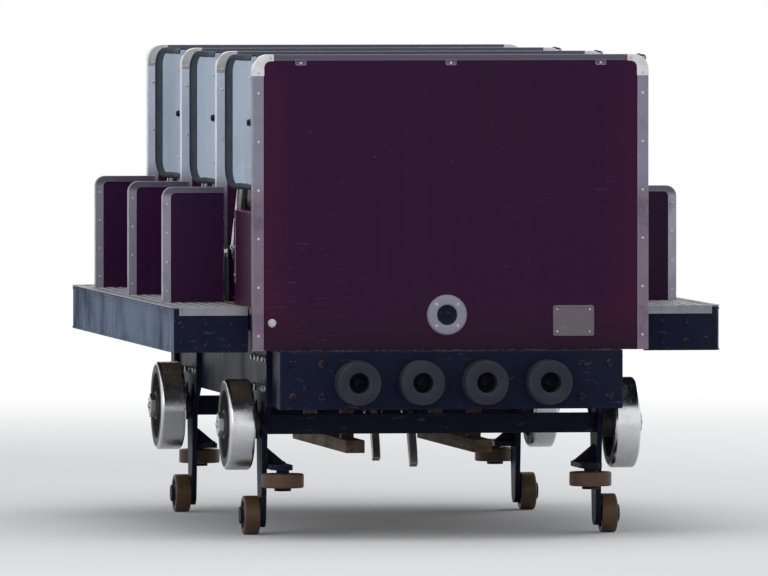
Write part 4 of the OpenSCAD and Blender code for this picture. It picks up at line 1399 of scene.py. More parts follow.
@dataclass
class Cushion:
    """A padded piece of the rear row: its block, and how its cover swells and is sewn.

    The cover faces the axis with the number up, and its channels run along the other one.
    """

    name: str
    lo: Vector
    hi: Vector
    corner: float
    up: int
    channels: tuple[float, ...]
    cross: tuple[float, ...]
    rise: float
    low_gap: Point
    high_gap: Point
    voxel: float = 0.0095
    pressure: float = 4.0
    frames: int = 20
    groove: float = 0.0055
    beside_seam: float = 0.0085
    seam_end: float = 0.034
    stitch_step: float = 0.01

    def __post_init__(self) -> None:
        """Works out the axis that the channels run along."""
        self.run = 3 - self.up

    def swell(self) -> bpy.types.Object:
        """Swells a remeshed block with the cloth simulation, and sews its cover.

        Returns:
            The padded piece.
        """
        gap = self.rise * 0.7
        lo = Vector([a + share * gap for a, share in zip(self.lo, self.low_gap)])
        hi = Vector([a - share * gap for a, share in zip(self.hi, self.high_gap)])
        block = Shape().prism(rounded(lo.yz, hi.yz, self.corner), lo.x, hi.x, Plane.ALONG)
        pad = block.piece(f"{self.name}_rear", 0.018, 3)
        remesh = pad.modifiers.new("even", "REMESH")
        remesh.mode, remesh.voxel_size = "VOXEL", self.voxel
        bake(pad)
        self.simulate(pad)
        smooth = pad.modifiers.new("smooth", "SUBSURF")
        smooth.levels = smooth.render_levels = 1
        bake(pad)
        pad.data.shade_smooth()
        self.sew_in(pad.data)
        self.tree = BVHTree.FromObject(pad, bpy.context.evaluated_depsgraph_get())
        return pad

    def is_held(self, p: Sequence[float]) -> bool:
        """Says whether a point is held while the cover swells.

        Args:
            p: The point.

        Returns:
            Whether it is on the base, or on the cover and in a sewn channel.
        """
        if p[self.up] - self.lo[self.up] < 0.006:
            return True
        if self.hi[self.up] - p[self.up] >= self.rise * 0.7 + 0.012:
            return False
        wide, start = self.voxel * 0.55, self.lo[self.run]
        span = self.hi[self.run] - start
        share = (p[self.run] - start) / span
        return (any(abs(p[0] - c) < wide for c in self.channels)
                or any(abs(share - c) < wide / span for c in self.cross))

    def simulate(self, pad: bpy.types.Object) -> None:
        """Runs the cloth simulation and keeps its result in the mesh.

        Args:
            pad: The remeshed block.
        """
        rest = np.array([v.co for v in pad.data.vertices])
        held = pad.vertex_groups.new(name="held")
        held.add([k for k, p in enumerate(rest) if self.is_held(p)], 1.0, "REPLACE")
        cloth = pad.modifiers.new("cover", "CLOTH")
        cloth.settings.vertex_group_mass = "held"
        cloth.settings.quality = 5
        cloth.settings.mass = 0.3
        cloth.settings.use_pressure = True
        cloth.settings.uniform_pressure_force = self.pressure
        cloth.settings.effector_weights.gravity = 0.0
        cloth.collision_settings.use_collision = False
        scene = bpy.context.scene
        for number in range(self.frames):
            scene.frame_set(number + 1)
        graph = bpy.context.evaluated_depsgraph_get()
        swollen = pad.evaluated_get(graph).to_mesh()
        moved = np.array([v.co for v in swollen.vertices]) - rest
        pad.evaluated_get(graph).to_mesh_clear()
        length = np.maximum(np.linalg.norm(moved, axis=1, keepdims=True), 1e-9)
        LOG.info("%s swells by up to %.1f mm", self.name, length.max() * 1000)
        moved *= np.tanh(length / self.rise) * self.rise / length
        pad.modifiers.clear()
        pad.vertex_groups.clear()
        pad.data.vertices.foreach_set("co", (rest + moved).astype(np.float32).ravel())
        pad.data.update()
        scene.frame_set(1)

    def sew_in(self, mesh: bpy.types.Mesh) -> None:
        """Presses the sewn channels and their puckers into the cover.

        Args:
            mesh: The padded piece's mesh.
        """
        normals = np.array([n.vector for n in mesh.vertex_normals])
        points = np.array([v.co for v in mesh.vertices])
        across, along = points[:, 0], points[:, self.run]
        size = (self.hi - self.lo)[self.run]
        lines = [(across - c, along) for c in self.channels]
        lines += [(along - (self.lo[self.run] + c * size), across) for c in self.cross]
        press = np.zeros(len(points))
        for k, (off, run) in enumerate(lines):
            pucker = 0.35 * np.sin(run * 260.0 + 3.0 * np.sin(run * 37.0 + k))
            press += self.groove * np.exp(-(off / 0.0060) ** 2)
            press += 0.0011 * np.exp(-(np.abs(off) - 0.014) ** 2 / 0.00012) * pucker
        sag = 0.0025 * np.sin(across * 19.0 + 1.3) * np.sin(along * 23.0)
        open_face = np.clip((normals[:, self.up] - 0.25) / 0.4, 0.0, 1.0)
        points -= normals * ((press + sag * 0.5) * open_face)[:, None]
        points = np.clip(points, np.array(self.lo) - 0.002, np.array(self.hi) + 0.008)
        points[:, self.up] = np.maximum(points[:, self.up], self.lo[self.up])
        mesh.vertices.foreach_set("co", points.astype(np.float32).ravel())
        mesh.update()

    def on_cover(self, across: float, along: float, lift: float) -> Vector:
        """Drops a point on the cover.

        Args:
            across: Place along X.
            along: Place along the channels.
            lift: How far it stands off the cover.

        Returns:
            The point.
        """
        start, way = Vector((across, 0, 0)), Vector()
        start[self.run], start[self.up], way[self.up] = along, self.hi[self.up] + 0.1, -1.0
        hit = self.tree.ray_cast(start, way)[0]
        return (hit or self.tree.find_nearest(start + way * 0.12)[0]) - way * lift

    def piping(self, inset: float = 0.026) -> Shape:
        """Runs a cord of piping round the cover's face.

        Args:
            inset: How far in from the block's sides it runs.

        Returns:
            The piping's shape.
        """
        lo, hi = ((box[0] + way * inset, box[self.run] + way * inset)
                  for box, way in ((self.lo, 1.0), (self.hi, -1.0)))
        flat, fine = rounded(lo, hi, 0.030, 6), []
        for p, q in zip(flat, flat[1:] + flat[:1]):
            count = max(1, int(math.dist(p, q) / 0.012))
            fine += [[a + (b - a) * k / count for a, b in zip(p, q)] for k in range(count)]
        path = [self.on_cover(*p, 0.0006) for p in fine]
        for _ in range(2):
            path = [(path[k - 1] + path[k] * 2 + path[(k + 1) % len(path)]) / 4
                    for k in range(len(path))]
        return Shape().tube(path, 0.0036, 8, closed=True)

    def stitch_lines(self) -> list[list[Vector]]:
        """Draws a line of stitches on both sides of every channel.

        Returns:
            The lines.
        """
        start, end = self.lo[self.run], self.hi[self.run]
        inset, sides = self.seam_end, (-self.beside_seam, self.beside_seam)
        lines = [[(c + side, b) for b in steps(start + inset, end - inset, self.stitch_step)]
                 for c in self.channels for side in sides]
        lines += [[(a, start + c * (end - start) + side) for a in
                   steps(self.lo.x + inset, self.hi.x - inset, self.stitch_step)]
                  for c in self.cross for side in sides]
        return [[self.on_cover(*p, 0.0007) for p in line] for line in lines]


@dataclass
class Benches(SubAssembly):
    """Seat boxes with their cushions and back pads, once simulated and used in each row."""

    kick_height: float = 0.060
    sheet: float = 0.0018
    leaf: float = 0.0015
    leg: float = 0.028

    def build(self) -> None:
        """Builds the boxes, then the cushion and the pad of the three rows."""
        self.refine("seat_boxes", "seat_box_panels", MAROON, edge=0.0025)
        self.box_trim()
        for name, corner, up, channels, cross, rise, low_gap, high_gap in (
                ("seat_cushion", 0.026, 2, (-0.375, -0.19, 0.0, 0.19, 0.375), (), 0.016,
                 (1, 0, 0), (1, 0.6, 1)),
                ("back_pad", 0.020, 1, (0.0,), (0.34, 0.66), 0.015, (1, 0, 0.7),
                 (1, 1, 0.7))):
            lo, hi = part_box(f"{name}s")
            hi.y -= 2 * ROW_PITCH
            self.upholster(Cushion(name, lo, hi, corner, up, channels, cross, rise, low_gap,
                                   high_gap))

    def box_trim(self) -> None:
        """Adds kick plates, corner angles and screws to the seat boxes."""
        lo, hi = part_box("seat_boxes")
        kick, angles, screws = Shape(), Shape(), []
        top, t, leg, x = lo.z + self.kick_height, self.leaf, self.leg, hi.x
        for row in reversed(range(len(ROWS))):
            front = hi.y - row * ROW_PITCH
            kick.prism(rounded((lo.x + 0.02, lo.z + 0.006), (x - 0.02, top), 0.006, 3),
                       front, front + self.sheet, Plane.ACROSS)
            screws += [((px, front + self.sheet, z), Axis.FORWARD.value)
                       for px in steps(lo.x + 0.045, x - 0.045, 0.16)
                       for z in (lo.z + 0.018, top - 0.012)]
            for sign in SIGNS:
                outline = [(x + t, front + t), (x + t, front - leg), (x, front - leg),
                           (x, front), (x - leg, front), (x - leg, front + t)]
                angles.prism([(sign * px, py) for px, py in outline], top + 0.006,
                             hi.z - 0.004, Plane.LEVEL)
                for z in steps(lo.z + 0.09, hi.z - 0.03, 0.085):
                    screws += [((sign * (x + t), front - 0.015, z), out_of(sign)),
                               ((sign * (x - 0.015), front + t, z), Axis.FORWARD.value)]
        self.make("seat_box_kick_plates", kick, TREAD, edge=0.0006)
        self.make("seat_box_corner_angles", angles, EDGING, edge=0.0005)
        self.fasten("seat_box_screws", Head.PAN, 0.0038, ZINC, screws)

    def upholster(self, cushion: Cushion) -> None:
        """Makes one padded piece, its piping and its stitches, and copies them to each row.

        Args:
            cushion: What the piece starts from.
        """
        name = cushion.name
        pad = cushion.swell()
        piping = cushion.piping().piece(f"{name}_piping_rear")
        stitches = self.shop.sew(f"{name}_stitches_rear", cushion.stitch_lines(), THREAD)
        for row, end in enumerate(ROWS):
            for source, finish, fill in ((pad, VINYL, 0.7), (piping, GRIP, None),
                                         (stitches, THREAD, None)):
                piece = source
                if row:
                    stem = source.name.removesuffix("_rear")
                    piece = add_object(f"{stem}_{end}", source.data.copy())
                    piece.data.transform(Matrix.Translation((0, row * ROW_PITCH, 0)))
                stands = [f"{name}s"] if piece is pad else []
                self.hand_over(piece, finish, fill=fill, stands_for=stands)


@dataclass
class LapBars(SubAssembly):
    """Swinging lap bars with their padded sleeves, eyes and brackets."""

    arm: float = 0.560
    tube: float = 0.017
    bend: float = 0.050
    back: float = 0.330
    rise: float = 0.405
    pivot_up: float = 0.150
    pivot_gap: float = 0.050
    eye: float = 0.024
    eye_width: float = 0.030
    pin: float = 0.010
    leaf: float = 0.008
    sleeve: float = 0.028
    sleeve_gap: float = 0.060
    sleeve_length: float = 0.440
    sleeve_rings: int = 60

    def build(self) -> None:
        """Builds the three bars, then dresses their brackets."""
        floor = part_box("floor_panel")[1].z
        self.reach = math.hypot(self.back, self.rise)
        heads, feet = [], []
        half = self.eye_width / 2 + 0.002 + self.leaf
        for name, ahead in zip(ROWS, BOARDS[1:]):
            y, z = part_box(ahead)[0].y - self.pivot_gap, floor + self.pivot_up
            self.pivot = Vector((0.0, y, z))
            self.bar(name)
            self.sleeves(name)
            for sign in SIGNS:
                for out in (-1, 1):
                    heads.append(((sign * self.arm + out * half, y, z), out_of(out)))
                    feet.append(((sign * self.arm, y + out * 0.013, floor + self.leaf),
                                 Axis.UP.value))
        self.refine("lap_bar_brackets", "lap_bar_pivot_brackets", FRAME, edge=0.0015)
        self.fasten("lap_bar_pin_heads", Head.HEX, 0.015, ZINC, heads)
        self.fasten("lap_bar_bracket_bolts", Head.HEX, 0.0075, ZINC, feet)

    def turned(self, x: float, y: float, z: float) -> Vector:
        """Leans a point of the upright bar back to the closed place."""
        lean = Matrix.Rotation(math.atan2(self.back, self.rise), 3, "X")
        return self.pivot + lean @ Vector((x, y, z))

    def bar(self, name: str) -> None:
        """Bends the tube, with an eye at the foot of each arm.

        Args:
            name: The row's name.
        """
        a, r, top, body = self.arm, self.bend, self.reach, f"{name}_lap_bar"
        feet = (self.eye * 0.6, 0.12, 0.24, 0.36)
        flat = [*((-a, z) for z in feet), *arc((r - a, top - r), r, 180, 90, 10),
                (-0.3, top), (0.0, top), (0.3, top), *arc((a - r, top - r), r, 90, 0, 10),
                *((a, z) for z in reversed(feet))]
        shape = Shape().tube([self.turned(x, 0.0, z) for x, z in flat], self.tube, 20)
        w, e, p = self.eye_width / 2, self.eye, self.pin + 0.0006
        profile = [(p, -w), (p, w), (e - 0.002, w), (e, w - 0.002), (e, 0.002 - w),
                   (e - 0.002, -w)]
        weld = Shape()
        for sign in SIGNS:
            shape.lathe(profile, self.pivot + Vector((sign * a, 0, 0)), Axis.RIGHT, 32,
                        closed=True)
            ring = [self.turned(sign * a + self.tube * math.cos(t), self.tube * math.sin(t),
                                self.eye * 0.93) for t in turns(40)]
            weld.tube(ring, lambda k: 0.0024 + 0.0007 * (k % 2), 6, closed=True)
        self.make(f"lap_bar_{name}_tube", shape, CHROME, body=body,
                  stands_for=[f"lap_bar_{name}"])
        self.make(f"lap_bar_{name}_welds", weld, STEEL, body=body)

    def sleeve_radius(self, share: float) -> float:
        """Rounds the sleeve's ends and presses grips into it.

        Args:
            share: Place along the sleeve.

        Returns:
            The sleeve's radius there.
        """
        end = min(share, 1 - share) * self.sleeve_length
        soft = math.sqrt(max(0.0, 1 - max(0.0, 1 - end / 0.012) ** 2))
        grip = 0.0014 * math.sin(share * math.pi * 7.0) ** 2
        return self.tube + 0.001 + (self.sleeve - self.tube - 0.001 - grip) * soft

    def sleeves(self, name: str) -> None:
        """Slips a padded sleeve on the bar in front of each rider.

        Args:
            name: The row's name.
        """
        shape, lines, collars, body = Shape(), [], Shape(), f"{name}_lap_bar"
        x0, x1, n = self.sleeve_gap, self.sleeve_gap + self.sleeve_length, self.sleeve_rings
        seam, collar = self.sleeve - 0.0008, (0.0008, 0.0035, 0.0035, 0.0008)
        for sign in SIGNS:
            path = [self.turned(sign * (x0 + (x1 - x0) * k / n), 0.0, self.reach)
                    for k in range(n + 1)]
            shape.tube(path, lambda k: self.sleeve_radius(k / n), 28)
            for x in (x0 - 0.004, x1 + 0.004):
                ring = [self.turned(sign * (x + d), 0.0, self.reach)
                        for d in (-0.0045, -0.0035, 0.0035, 0.0045)]
                collars.tube(ring, lambda k: self.tube + collar[k], 24)
            for off in (-0.11, 0.11):
                lines.append([self.turned(sign * x, seam * math.sin(off),
                                          self.reach - seam * math.cos(off))
                              for x in steps(x0 + 0.014, x1 - 0.014, 0.02)])
        self.make(f"lap_bar_{name}_sleeves", shape, GRIP, body=body, fill=0.9)
        self.make(f"lap_bar_{name}_collars", collars, EDGING, body=body)
        self.hand_over(self.shop.sew(f"lap_bar_{name}_stitches", lines, THREAD), THREAD,
                       body=body)


@dataclass
class Deck(SubAssembly):
    """Floor with its mats, running boards with tread bars, and side fascias."""

    mat: float = 0.006
    mat_half: float = 0.5280
    rib_pitch: float = 0.011
    bar: Point = (0.024, 0.0062, 0.0016)
    bar_pitch: float = 0.0275
    rivet_pitch: float = 0.098
    nose: float = 0.0028
    end_drop: float = 0.024
    sheet: float = 0.0046
    hem: float = 0.0036
    bolt_insets: tuple[float, float, float] = (0.030, 0.105, 0.180)

    def build(self) -> None:
        """Dresses the floor, the running boards and the fascias."""
        self.refine("floor_panel", "floor_planks", DECK)
        self.mats()
        for side, sign in SIDES.items():
            node = f"running_board_{side}"
            self.refine(node, f"{node}_plate", TREAD, FRAME,
                        sort=lambda p, n: 0 if n.z > 0.35 else 1)
            self.tread(node, sign)
        self.fascias()

    def mats(self) -> None:
        """Lays a ribbed rubber mat in front of each bench."""
        top, half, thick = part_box("floor_panel")[1].z, self.mat_half, self.mat * 0.6
        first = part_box("seat_boxes")[1].y - 2 * ROW_PITCH + 0.006
        for row, (name, ahead) in enumerate(zip(ROWS, BOARDS[1:])):
            y0, y1 = first + row * ROW_PITCH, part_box(ahead)[0].y - 0.085
            mat = Shape().prism(rounded((-half, y0), (half, y1), 0.015), top, top + thick,
                                Plane.LEVEL)
            self.make(f"floor_mat_{name}", mat, MAT, edge=0.0012)
            self.lay(f"floor_mat_ribs_{name}", (2 * half - 0.03, 0.0058, self.mat * 0.4), MAT,
                     Middle=(0.0, (y0 + y1) / 2, top + thick), Width=0.0,
                     Length=y1 - y0 - 0.022, Columns=1,
                     Lines=int((y1 - y0 - 0.02) / self.rib_pitch), Lean=0.0)

    def lay(self, name: str, size: Point, finish: Finish, **field: int | float | Point
            ) -> None:
        """Lays bars on a plate.

        Args:
            name: The piece's name.
            size: Length, width and height of one bar.
            finish: The bars' finish.
            field: Middle, size, columns, lines and lean, as the tree's inputs.
        """
        half, wide, tall = size[0] / 2, size[1] / 2, size[2]
        shape, tip = Shape(), half * 0.6
        bar = shape.skin([shape.ring((x, y, tall * rise) for x, y in (
            (half * share, 0), (tip, wide * share), (-tip, wide * share),
            (-half * share, 0), (-tip, -wide * share), (tip, -wide * share)))
            for share, rise in ((1.0, -0.1), (0.86, 0.75), (0.7, 1.0))]).piece("pattern_bar")
        self.hand_over(self.shop.bars.run(name, bpy.data.meshes.new(name), bar, finish,
                                          **field), finish)
        bpy.data.objects.remove(bar)

    def tread(self, node: str, sign: float) -> None:
        """Raises tread bars and a nosing on a running board.

        Args:
            node: The running board's node.
            sign: Which side, as the sign of X.
        """
        lo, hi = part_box(node)
        (inner, x), z, t = sorted((abs(lo.x), abs(hi.x))), hi.z, self.nose
        width, length = x - inner - 0.040, hi.y - lo.y - 0.030
        columns, lines = (int(size / self.bar_pitch) + 1 for size in (width, length))
        self.lay(f"{node}_tread_bars", self.bar, TREAD,
                 Middle=(sign * (inner + x) / 2, (lo.y + hi.y) / 2, z), Width=width,
                 Length=length, Columns=columns, Lines=lines, Lean=math.radians(45))
        nosing = Shape()
        outline = [(x - 0.016, z), (x - 0.016, z + t), (x + 0.0065, z + t),
                   (x + 0.0078, z + 0.0012), (x + 0.0078, z - 0.0002), (x - 0.002, z - 0.0002)]
        nosing.prism([(sign * a, b) for a, b in outline], lo.y, hi.y, Plane.ACROSS)
        for end, way in ((lo.y, -1.0), (hi.y, 1.0)):
            bent = [(end + way * off, z + up) for off, up in (
                (-0.022, 0), (-0.022, t), (0.0008, t), (0.0026, 0.001),
                (0.0026, -self.end_drop), (0, -self.end_drop), (0, 0))]
            nosing.prism(bent, sign * (inner + 0.001), sign * (x - 0.0165), Plane.ALONG)
        self.make(f"{node}_nosing", nosing, NOSING, edge=0.0006)
        self.fasten(f"{node}_nosing_screws", Head.FLAT, 0.0042, ZINC, [
            ((sign * (x - 0.008), y, z + t), Axis.UP.value)
            for y in steps(lo.y + 0.03, hi.y - 0.03, 0.17)])

    def fascias(self) -> None:
        """Makes the bare side sheets, with hems, joint covers, rivets and end bolts."""
        lo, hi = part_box("side_fascias")
        back = abs(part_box("running_board_left")[0].x)
        sheets, rivets, bolts = Shape(), [], []
        third, face = (hi.y - lo.y) / 3, back + self.sheet
        for sign in SIGNS:
            sheets.prism(rounded((lo.y, lo.z), (hi.y, hi.z), 0.006), sign * back,
                         sign * face, Plane.ALONG)
            for z in (lo.z + self.hem, hi.z - self.hem - 0.004):
                sheets.tube([(sign * (face - 0.0004), y, z) for y in (
                    lo.y + 0.004, lo.y + third, hi.y - third, hi.y - 0.004)], self.hem, 10)
            for y in (lo.y + third, lo.y + third * 2):
                cover = rounded((y - 0.020, lo.z + 0.0085), (y + 0.020, hi.z - 0.0125),
                                0.003, 3)
                sheets.prism(cover, sign * (face - 0.001), sign * (face + 0.0012),
                             Plane.ALONG)
            rivets += [((sign * (face + 0.0001), y, z), out_of(sign))
                       for z in (lo.z + 0.017, hi.z - 0.021)
                       for y in steps(lo.y + 0.022, hi.y - 0.022, self.rivet_pitch)]
            bolts += [((sign * (hi.x - inset), y, z), way.value)
                      for y, way in ((lo.y, Axis.BACK), (hi.y, Axis.FORWARD))
                      for z in (lo.z + 0.030, hi.z - 0.048) for inset in self.bolt_insets]
        self.make("side_fascia_panels", sheets, FASCIA, edge=0.0010,
                  stands_for=["side_fascias"])
        self.fasten("side_fascia_rivets", Head.DOME, 0.0040, FASCIA, rivets)
        self.fasten("running_board_end_bolts", Head.HEX, 0.0085, FRAME, bolts)


@dataclass
class Underframe(SubAssembly):
    """Sills, cross members, end beams and buffers."""

    buffer: float = 0.069
    bore: float = 0.031
    length: float = 0.075
    pitch: float = 0.197
    height: float = 0.483
    member: float = 0.050
    front_setback: float = 0.080

    def build(self) -> None:
        """Dresses the steelwork, and adds its welds, bolts and buffers."""
        for node, name, edge in (("side_sills", "side_sill_channels", 0.003),
                                 ("cross_members", "cross_member_bars", 0.004),
                                 ("rear_beam", "rear_beam_channel", 0.004),
                                 ("front_beam", "front_beam_channel", 0.003)):
            self.refine(node, name, FRAME, edge=edge)
        self.beam_bolts()
        self.welds()
        self.buffers()

    def beam_bolts(self) -> None:
        """Adds bolts to the faces of both end beams."""
        spots = []
        for node, setback, way, places in (
                ("rear_beam", 0.0, Axis.BACK, (-0.49, -0.40, 0.40, 0.49)),
                ("front_beam", self.front_setback, Axis.FORWARD,
                 (-0.49, -0.40, -0.10, 0.10, 0.40, 0.49))):
            lo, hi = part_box(node)
            spots += [((x, lo.y + setback, z), way.value) for x in places
                      for z in (lo.z + 0.04, hi.z - 0.04)]
        self.fasten("end_beam_bolts", Head.HEX, 0.0125, FRAME, spots)

    def welds(self) -> None:
        """Lays beads where the cross members meet the sills, and along the beams."""
        sill_lo, sill_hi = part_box("side_sills")
        rear, front = middle_of("rear_axle").y, middle_of("front_axle").y
        base, z = front - rear, sill_hi.z + 0.001
        seams = []
        for y in (rear + base / 4, rear + base * 3 / 4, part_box(BOARDS[3])[0].y):
            for sign in SIGNS:
                x = sign * sill_hi.x
                seams += [((x, y + edge, z), (x - sign * 0.06, y + edge, z))
                          for edge in (-self.member / 2, self.member / 2)]
        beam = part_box("rear_beam")[1] + Vector((0, 0.001, -0.004))
        for sign in SIGNS:
            x = sign * (sill_hi.x + 0.001)
            seams.append(((x, beam.y, sill_lo.z + 0.004), (x, beam.y, beam.z)))
        self.weld("underframe_welds", seams)

    def buffers(self) -> None:
        """Turns the four hollow buffers, each with a washer and a bolt inside."""
        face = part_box("rear_beam")[0].y
        a, b, n = self.buffer, self.bore, self.length
        profile = [(b, 0.0), (b, n - 0.006), (b + 0.002, n - 0.002), (b + 0.007, n),
                   (a - 0.012, n), (a - 0.004, n - 0.0025), (a - 0.001, n - 0.008),
                   (a, n * 0.62), (a - 0.0035, n * 0.52), (a - 0.0035, n * 0.46),
                   (a, n * 0.38), (a, 0.010), (a - 0.003, 0.004), (a - 0.003, 0.0)]
        washer = [(0.0, 0.006), (b - 0.002, 0.006), (b - 0.0008, 0.004), (b - 0.0008, -0.002),
                  (0.0, -0.002)]
        rubber, washers, bolts = Shape(), Shape(), []
        for k in range(4):
            centre = ((k - 1.5) * self.pitch, face, self.height)
            rubber.lathe(profile, centre, Axis.BACK, 56, closed=True)
            washers.lathe(washer, centre, Axis.BACK, 32)
            bolts.append(((centre[0], face - 0.006, centre[2]), Axis.BACK.value))
        self.make("rear_buffers", rubber, BUFFER, LIP, stands_for=["buffers"],
                  sort=lambda p, n: int(p.y < face - self.length * 0.80))
        self.make("rear_buffer_washers", washers, FRAME)
        self.fasten("rear_buffer_bolts", Head.HEX, 0.0165, FRAME, bolts)


@dataclass
class WheelSets(SubAssembly):
    """Axles, carriers and the twelve wheels that hold the rails."""

    carrier_face: float = 0.530
    spindle_end: float = 0.660
    bolt_rows: Flat = (0.455, 0.545)
    bolt_columns: tuple[float, float, float, float] = (-0.120, -0.040, 0.040, 0.120)
    tread: float = 0.011
    tyre: float = 0.0150
    web: float = 0.610
    road_bolts: float = 0.0535
    roller_bolts: float = 0.0345
    roller_face: float = 0.012
    arm_top: float = 0.221
    arm_seams: tuple[tuple[float, float, float, float], ...] = (
        (0.450, 0.513, -0.008, -0.008), (0.450, 0.513, 0.008, 0.008),
        (0.5135, 0.5135, -0.034, 0.034))

    def build(self) -> None:
        """Dresses the axles and carriers, then the wheels of each corner."""
        self.refine("wheel_carriers", "wheel_carrier_plates", FRAME, edge=0.0018)
        bolts, caps, seams = [], [], []
        for end in ENDS:
            self.refine(f"{end}_axle", f"{end}_axle_beam", FRAME, STEEL, edge=0.0022,
                        sort=lambda p, n: 0 if abs(p.x) < 0.52 else 1)
            _, y, z = middle_of(f"{end}_axle")
            for side, sign in SIDES.items():
                bolts += [((sign * self.carrier_face, y + dy, up), out_of(sign))
                          for up in self.bolt_rows for dy in self.bolt_columns]
                caps.append(((sign * self.spindle_end, y, z), out_of(sign)))
                for x0, x1, y0, y1 in self.arm_seams:
                    seams.append(((sign * x0, y + y0, self.arm_top),
                                  (sign * x1, y + y1, self.arm_top)))
                self.road_wheel(end, side, sign)
                self.roller("guide", end, side)
                self.roller("upstop", end, side)
        self.fasten("wheel_carrier_bolts", Head.HEX, 0.0135, ZINC, bolts)
        self.fasten("spindle_grease_caps", Head.DOME, 0.0120, STEEL, caps)
        self.weld("guide_arm_welds", seams)

    def road_wheel(self, end: str, side: str, sign: float) -> None:
        """Dresses a road wheel: a polished tread on a rusty casting, with hub covers.

        Args:
            end: Rear or front.
            side: Left or right.
            sign: The side as the sign of X.
        """
        node, body = f"road_wheel_{end}_{side}", f"{end}_{side}_road_wheel"
        lo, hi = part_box(node)
        y, z, r = (lo.y + hi.y) / 2, (lo.z + hi.z) / 2, (hi.z - lo.z) / 2
        self.refine(node, f"{node}_casting", CAST, RUNNING, body=body, edge=0.0025,
                    sort=lambda p, n: int(math.hypot(p.y - y, p.z - z) > r - self.tread))
        outer = sign * (max(abs(lo.x), abs(hi.x)) - 0.0002)
        way = Axis.RIGHT if sign > 0 else Axis.LEFT
        profile = [(0.0262, -0.010), (0.0262, 0.0), (0.041, 0.0), (0.0425, -0.002),
                   (0.0425, -0.010)]
        self.make(f"{node}_hub_seal", Shape().lathe(profile, (outer, y, z), way, 40,
                                                    closed=True), STEEL, body=body)
        self.fasten(f"{node}_bolts", Head.HEX, 0.0072, STEEL, [
            ((sign * self.web, y + self.road_bolts * math.cos(t),
              z + self.road_bolts * math.sin(t)), out_of(sign)) for t in turns(6, 0.5)], body)

    def roller(self, kind: str, end: str, side: str) -> None:
        """Dresses a guide or up-stop wheel: a tyre on a hub, with a ring of bolts.

        Args:
            kind: Guide or upstop.
            end: Rear or front.
            side: Left or right.
        """
        node, body = f"{kind}_wheel_{end}_{side}", f"{end}_{side}_{kind}_wheel"
        lo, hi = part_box(node)
        mid, axis = (lo + hi) / 2, 2 if kind == "guide" else 0
        u, v = (axis + 1) % 3, (axis + 2) % 3
        rim, reach = (hi[u] - lo[u]) / 2 - self.tyre, self.roller_bolts
        self.refine(node, f"{node}_hub", CAST, TYRE, body=body, edge=0.0022,
                    sort=lambda p, n: int(math.hypot(p[u] - mid[u], p[v] - mid[v]) > rim))
        spots = []
        for t in turns(6):
            for way in (-1.0, 1.0):
                place, facing = mid.copy(), [0.0, 0.0, 0.0]
                place[u] += reach * math.cos(t)
                place[v] += reach * math.sin(t)
                place[axis] += way * self.roller_face
                facing[axis] = way
                spots.append((place, facing))
        self.fasten(f"{node}_bolts", Head.HEX, 0.0058, ZINC, spots, body)


@dataclass
class RunningGear(SubAssembly):
    """Brake runners, dogs with their hangers, and the drawbar."""

    runner: float = 0.200
    dog_face: float = 0.0245
    pin_rise: float = 0.039
    pin_setback: float = 0.038

    def build(self) -> None:
        """Dresses the pieces under the middle of the car, with their bolts and pins."""
        for node, name, finish, edge in (
                ("brake_runners", "brake_runner_timbers", DECK, 0.003),
                ("dog_hangers", "dog_hanger_plates", FRAME, 0.0015)):
            self.refine(node, name, finish, edge=edge)
        for node, edge in (("chain_dog", 0.002), ("rollback_dog", 0.002), ("drawbar", 0.003)):
            self.refine(node, f"{node}_forging", STEEL, body=node, edge=edge)
        lo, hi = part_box("brake_runners")
        self.fasten("brake_runner_bolts", Head.FLAT, 0.0095, STEEL, [
            ((sign * self.runner, y, lo.z), Axis.DOWN.value) for sign in SIGNS
            for y in steps(lo.y + 0.05, hi.y - 0.05, 0.21)])
        self.pins()

    def pins(self) -> None:
        """Puts washers on the dogs' pins and a head on the drawbar's pin."""
        shape, z = Shape(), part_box("dog_hangers")[0].z + 0.030
        rear, front = middle_of("rear_axle").y, middle_of("front_axle").y
        washer = [(0.0132, 0.0), (0.021, 0.0), (0.022, 0.001), (0.022, 0.0025),
                  (0.0132, 0.0025)]
        for share in (0.25, 0.75):
            for sign, way in zip(SIGNS, (Axis.LEFT, Axis.RIGHT)):
                centre = (sign * self.dog_face, rear + (front - rear) * share, z)
                shape.lathe(washer, centre, way, 24, closed=True)
        self.make("dog_pin_washers", shape, ZINC)
        place = (0.0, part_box("drawbar")[0].y + self.pin_setback,
                 middle_of("drawbar").z + self.pin_rise)
        self.fasten("drawbar_pin_head", Head.DOME, 0.0158, STEEL, [(place, Axis.UP.value)])


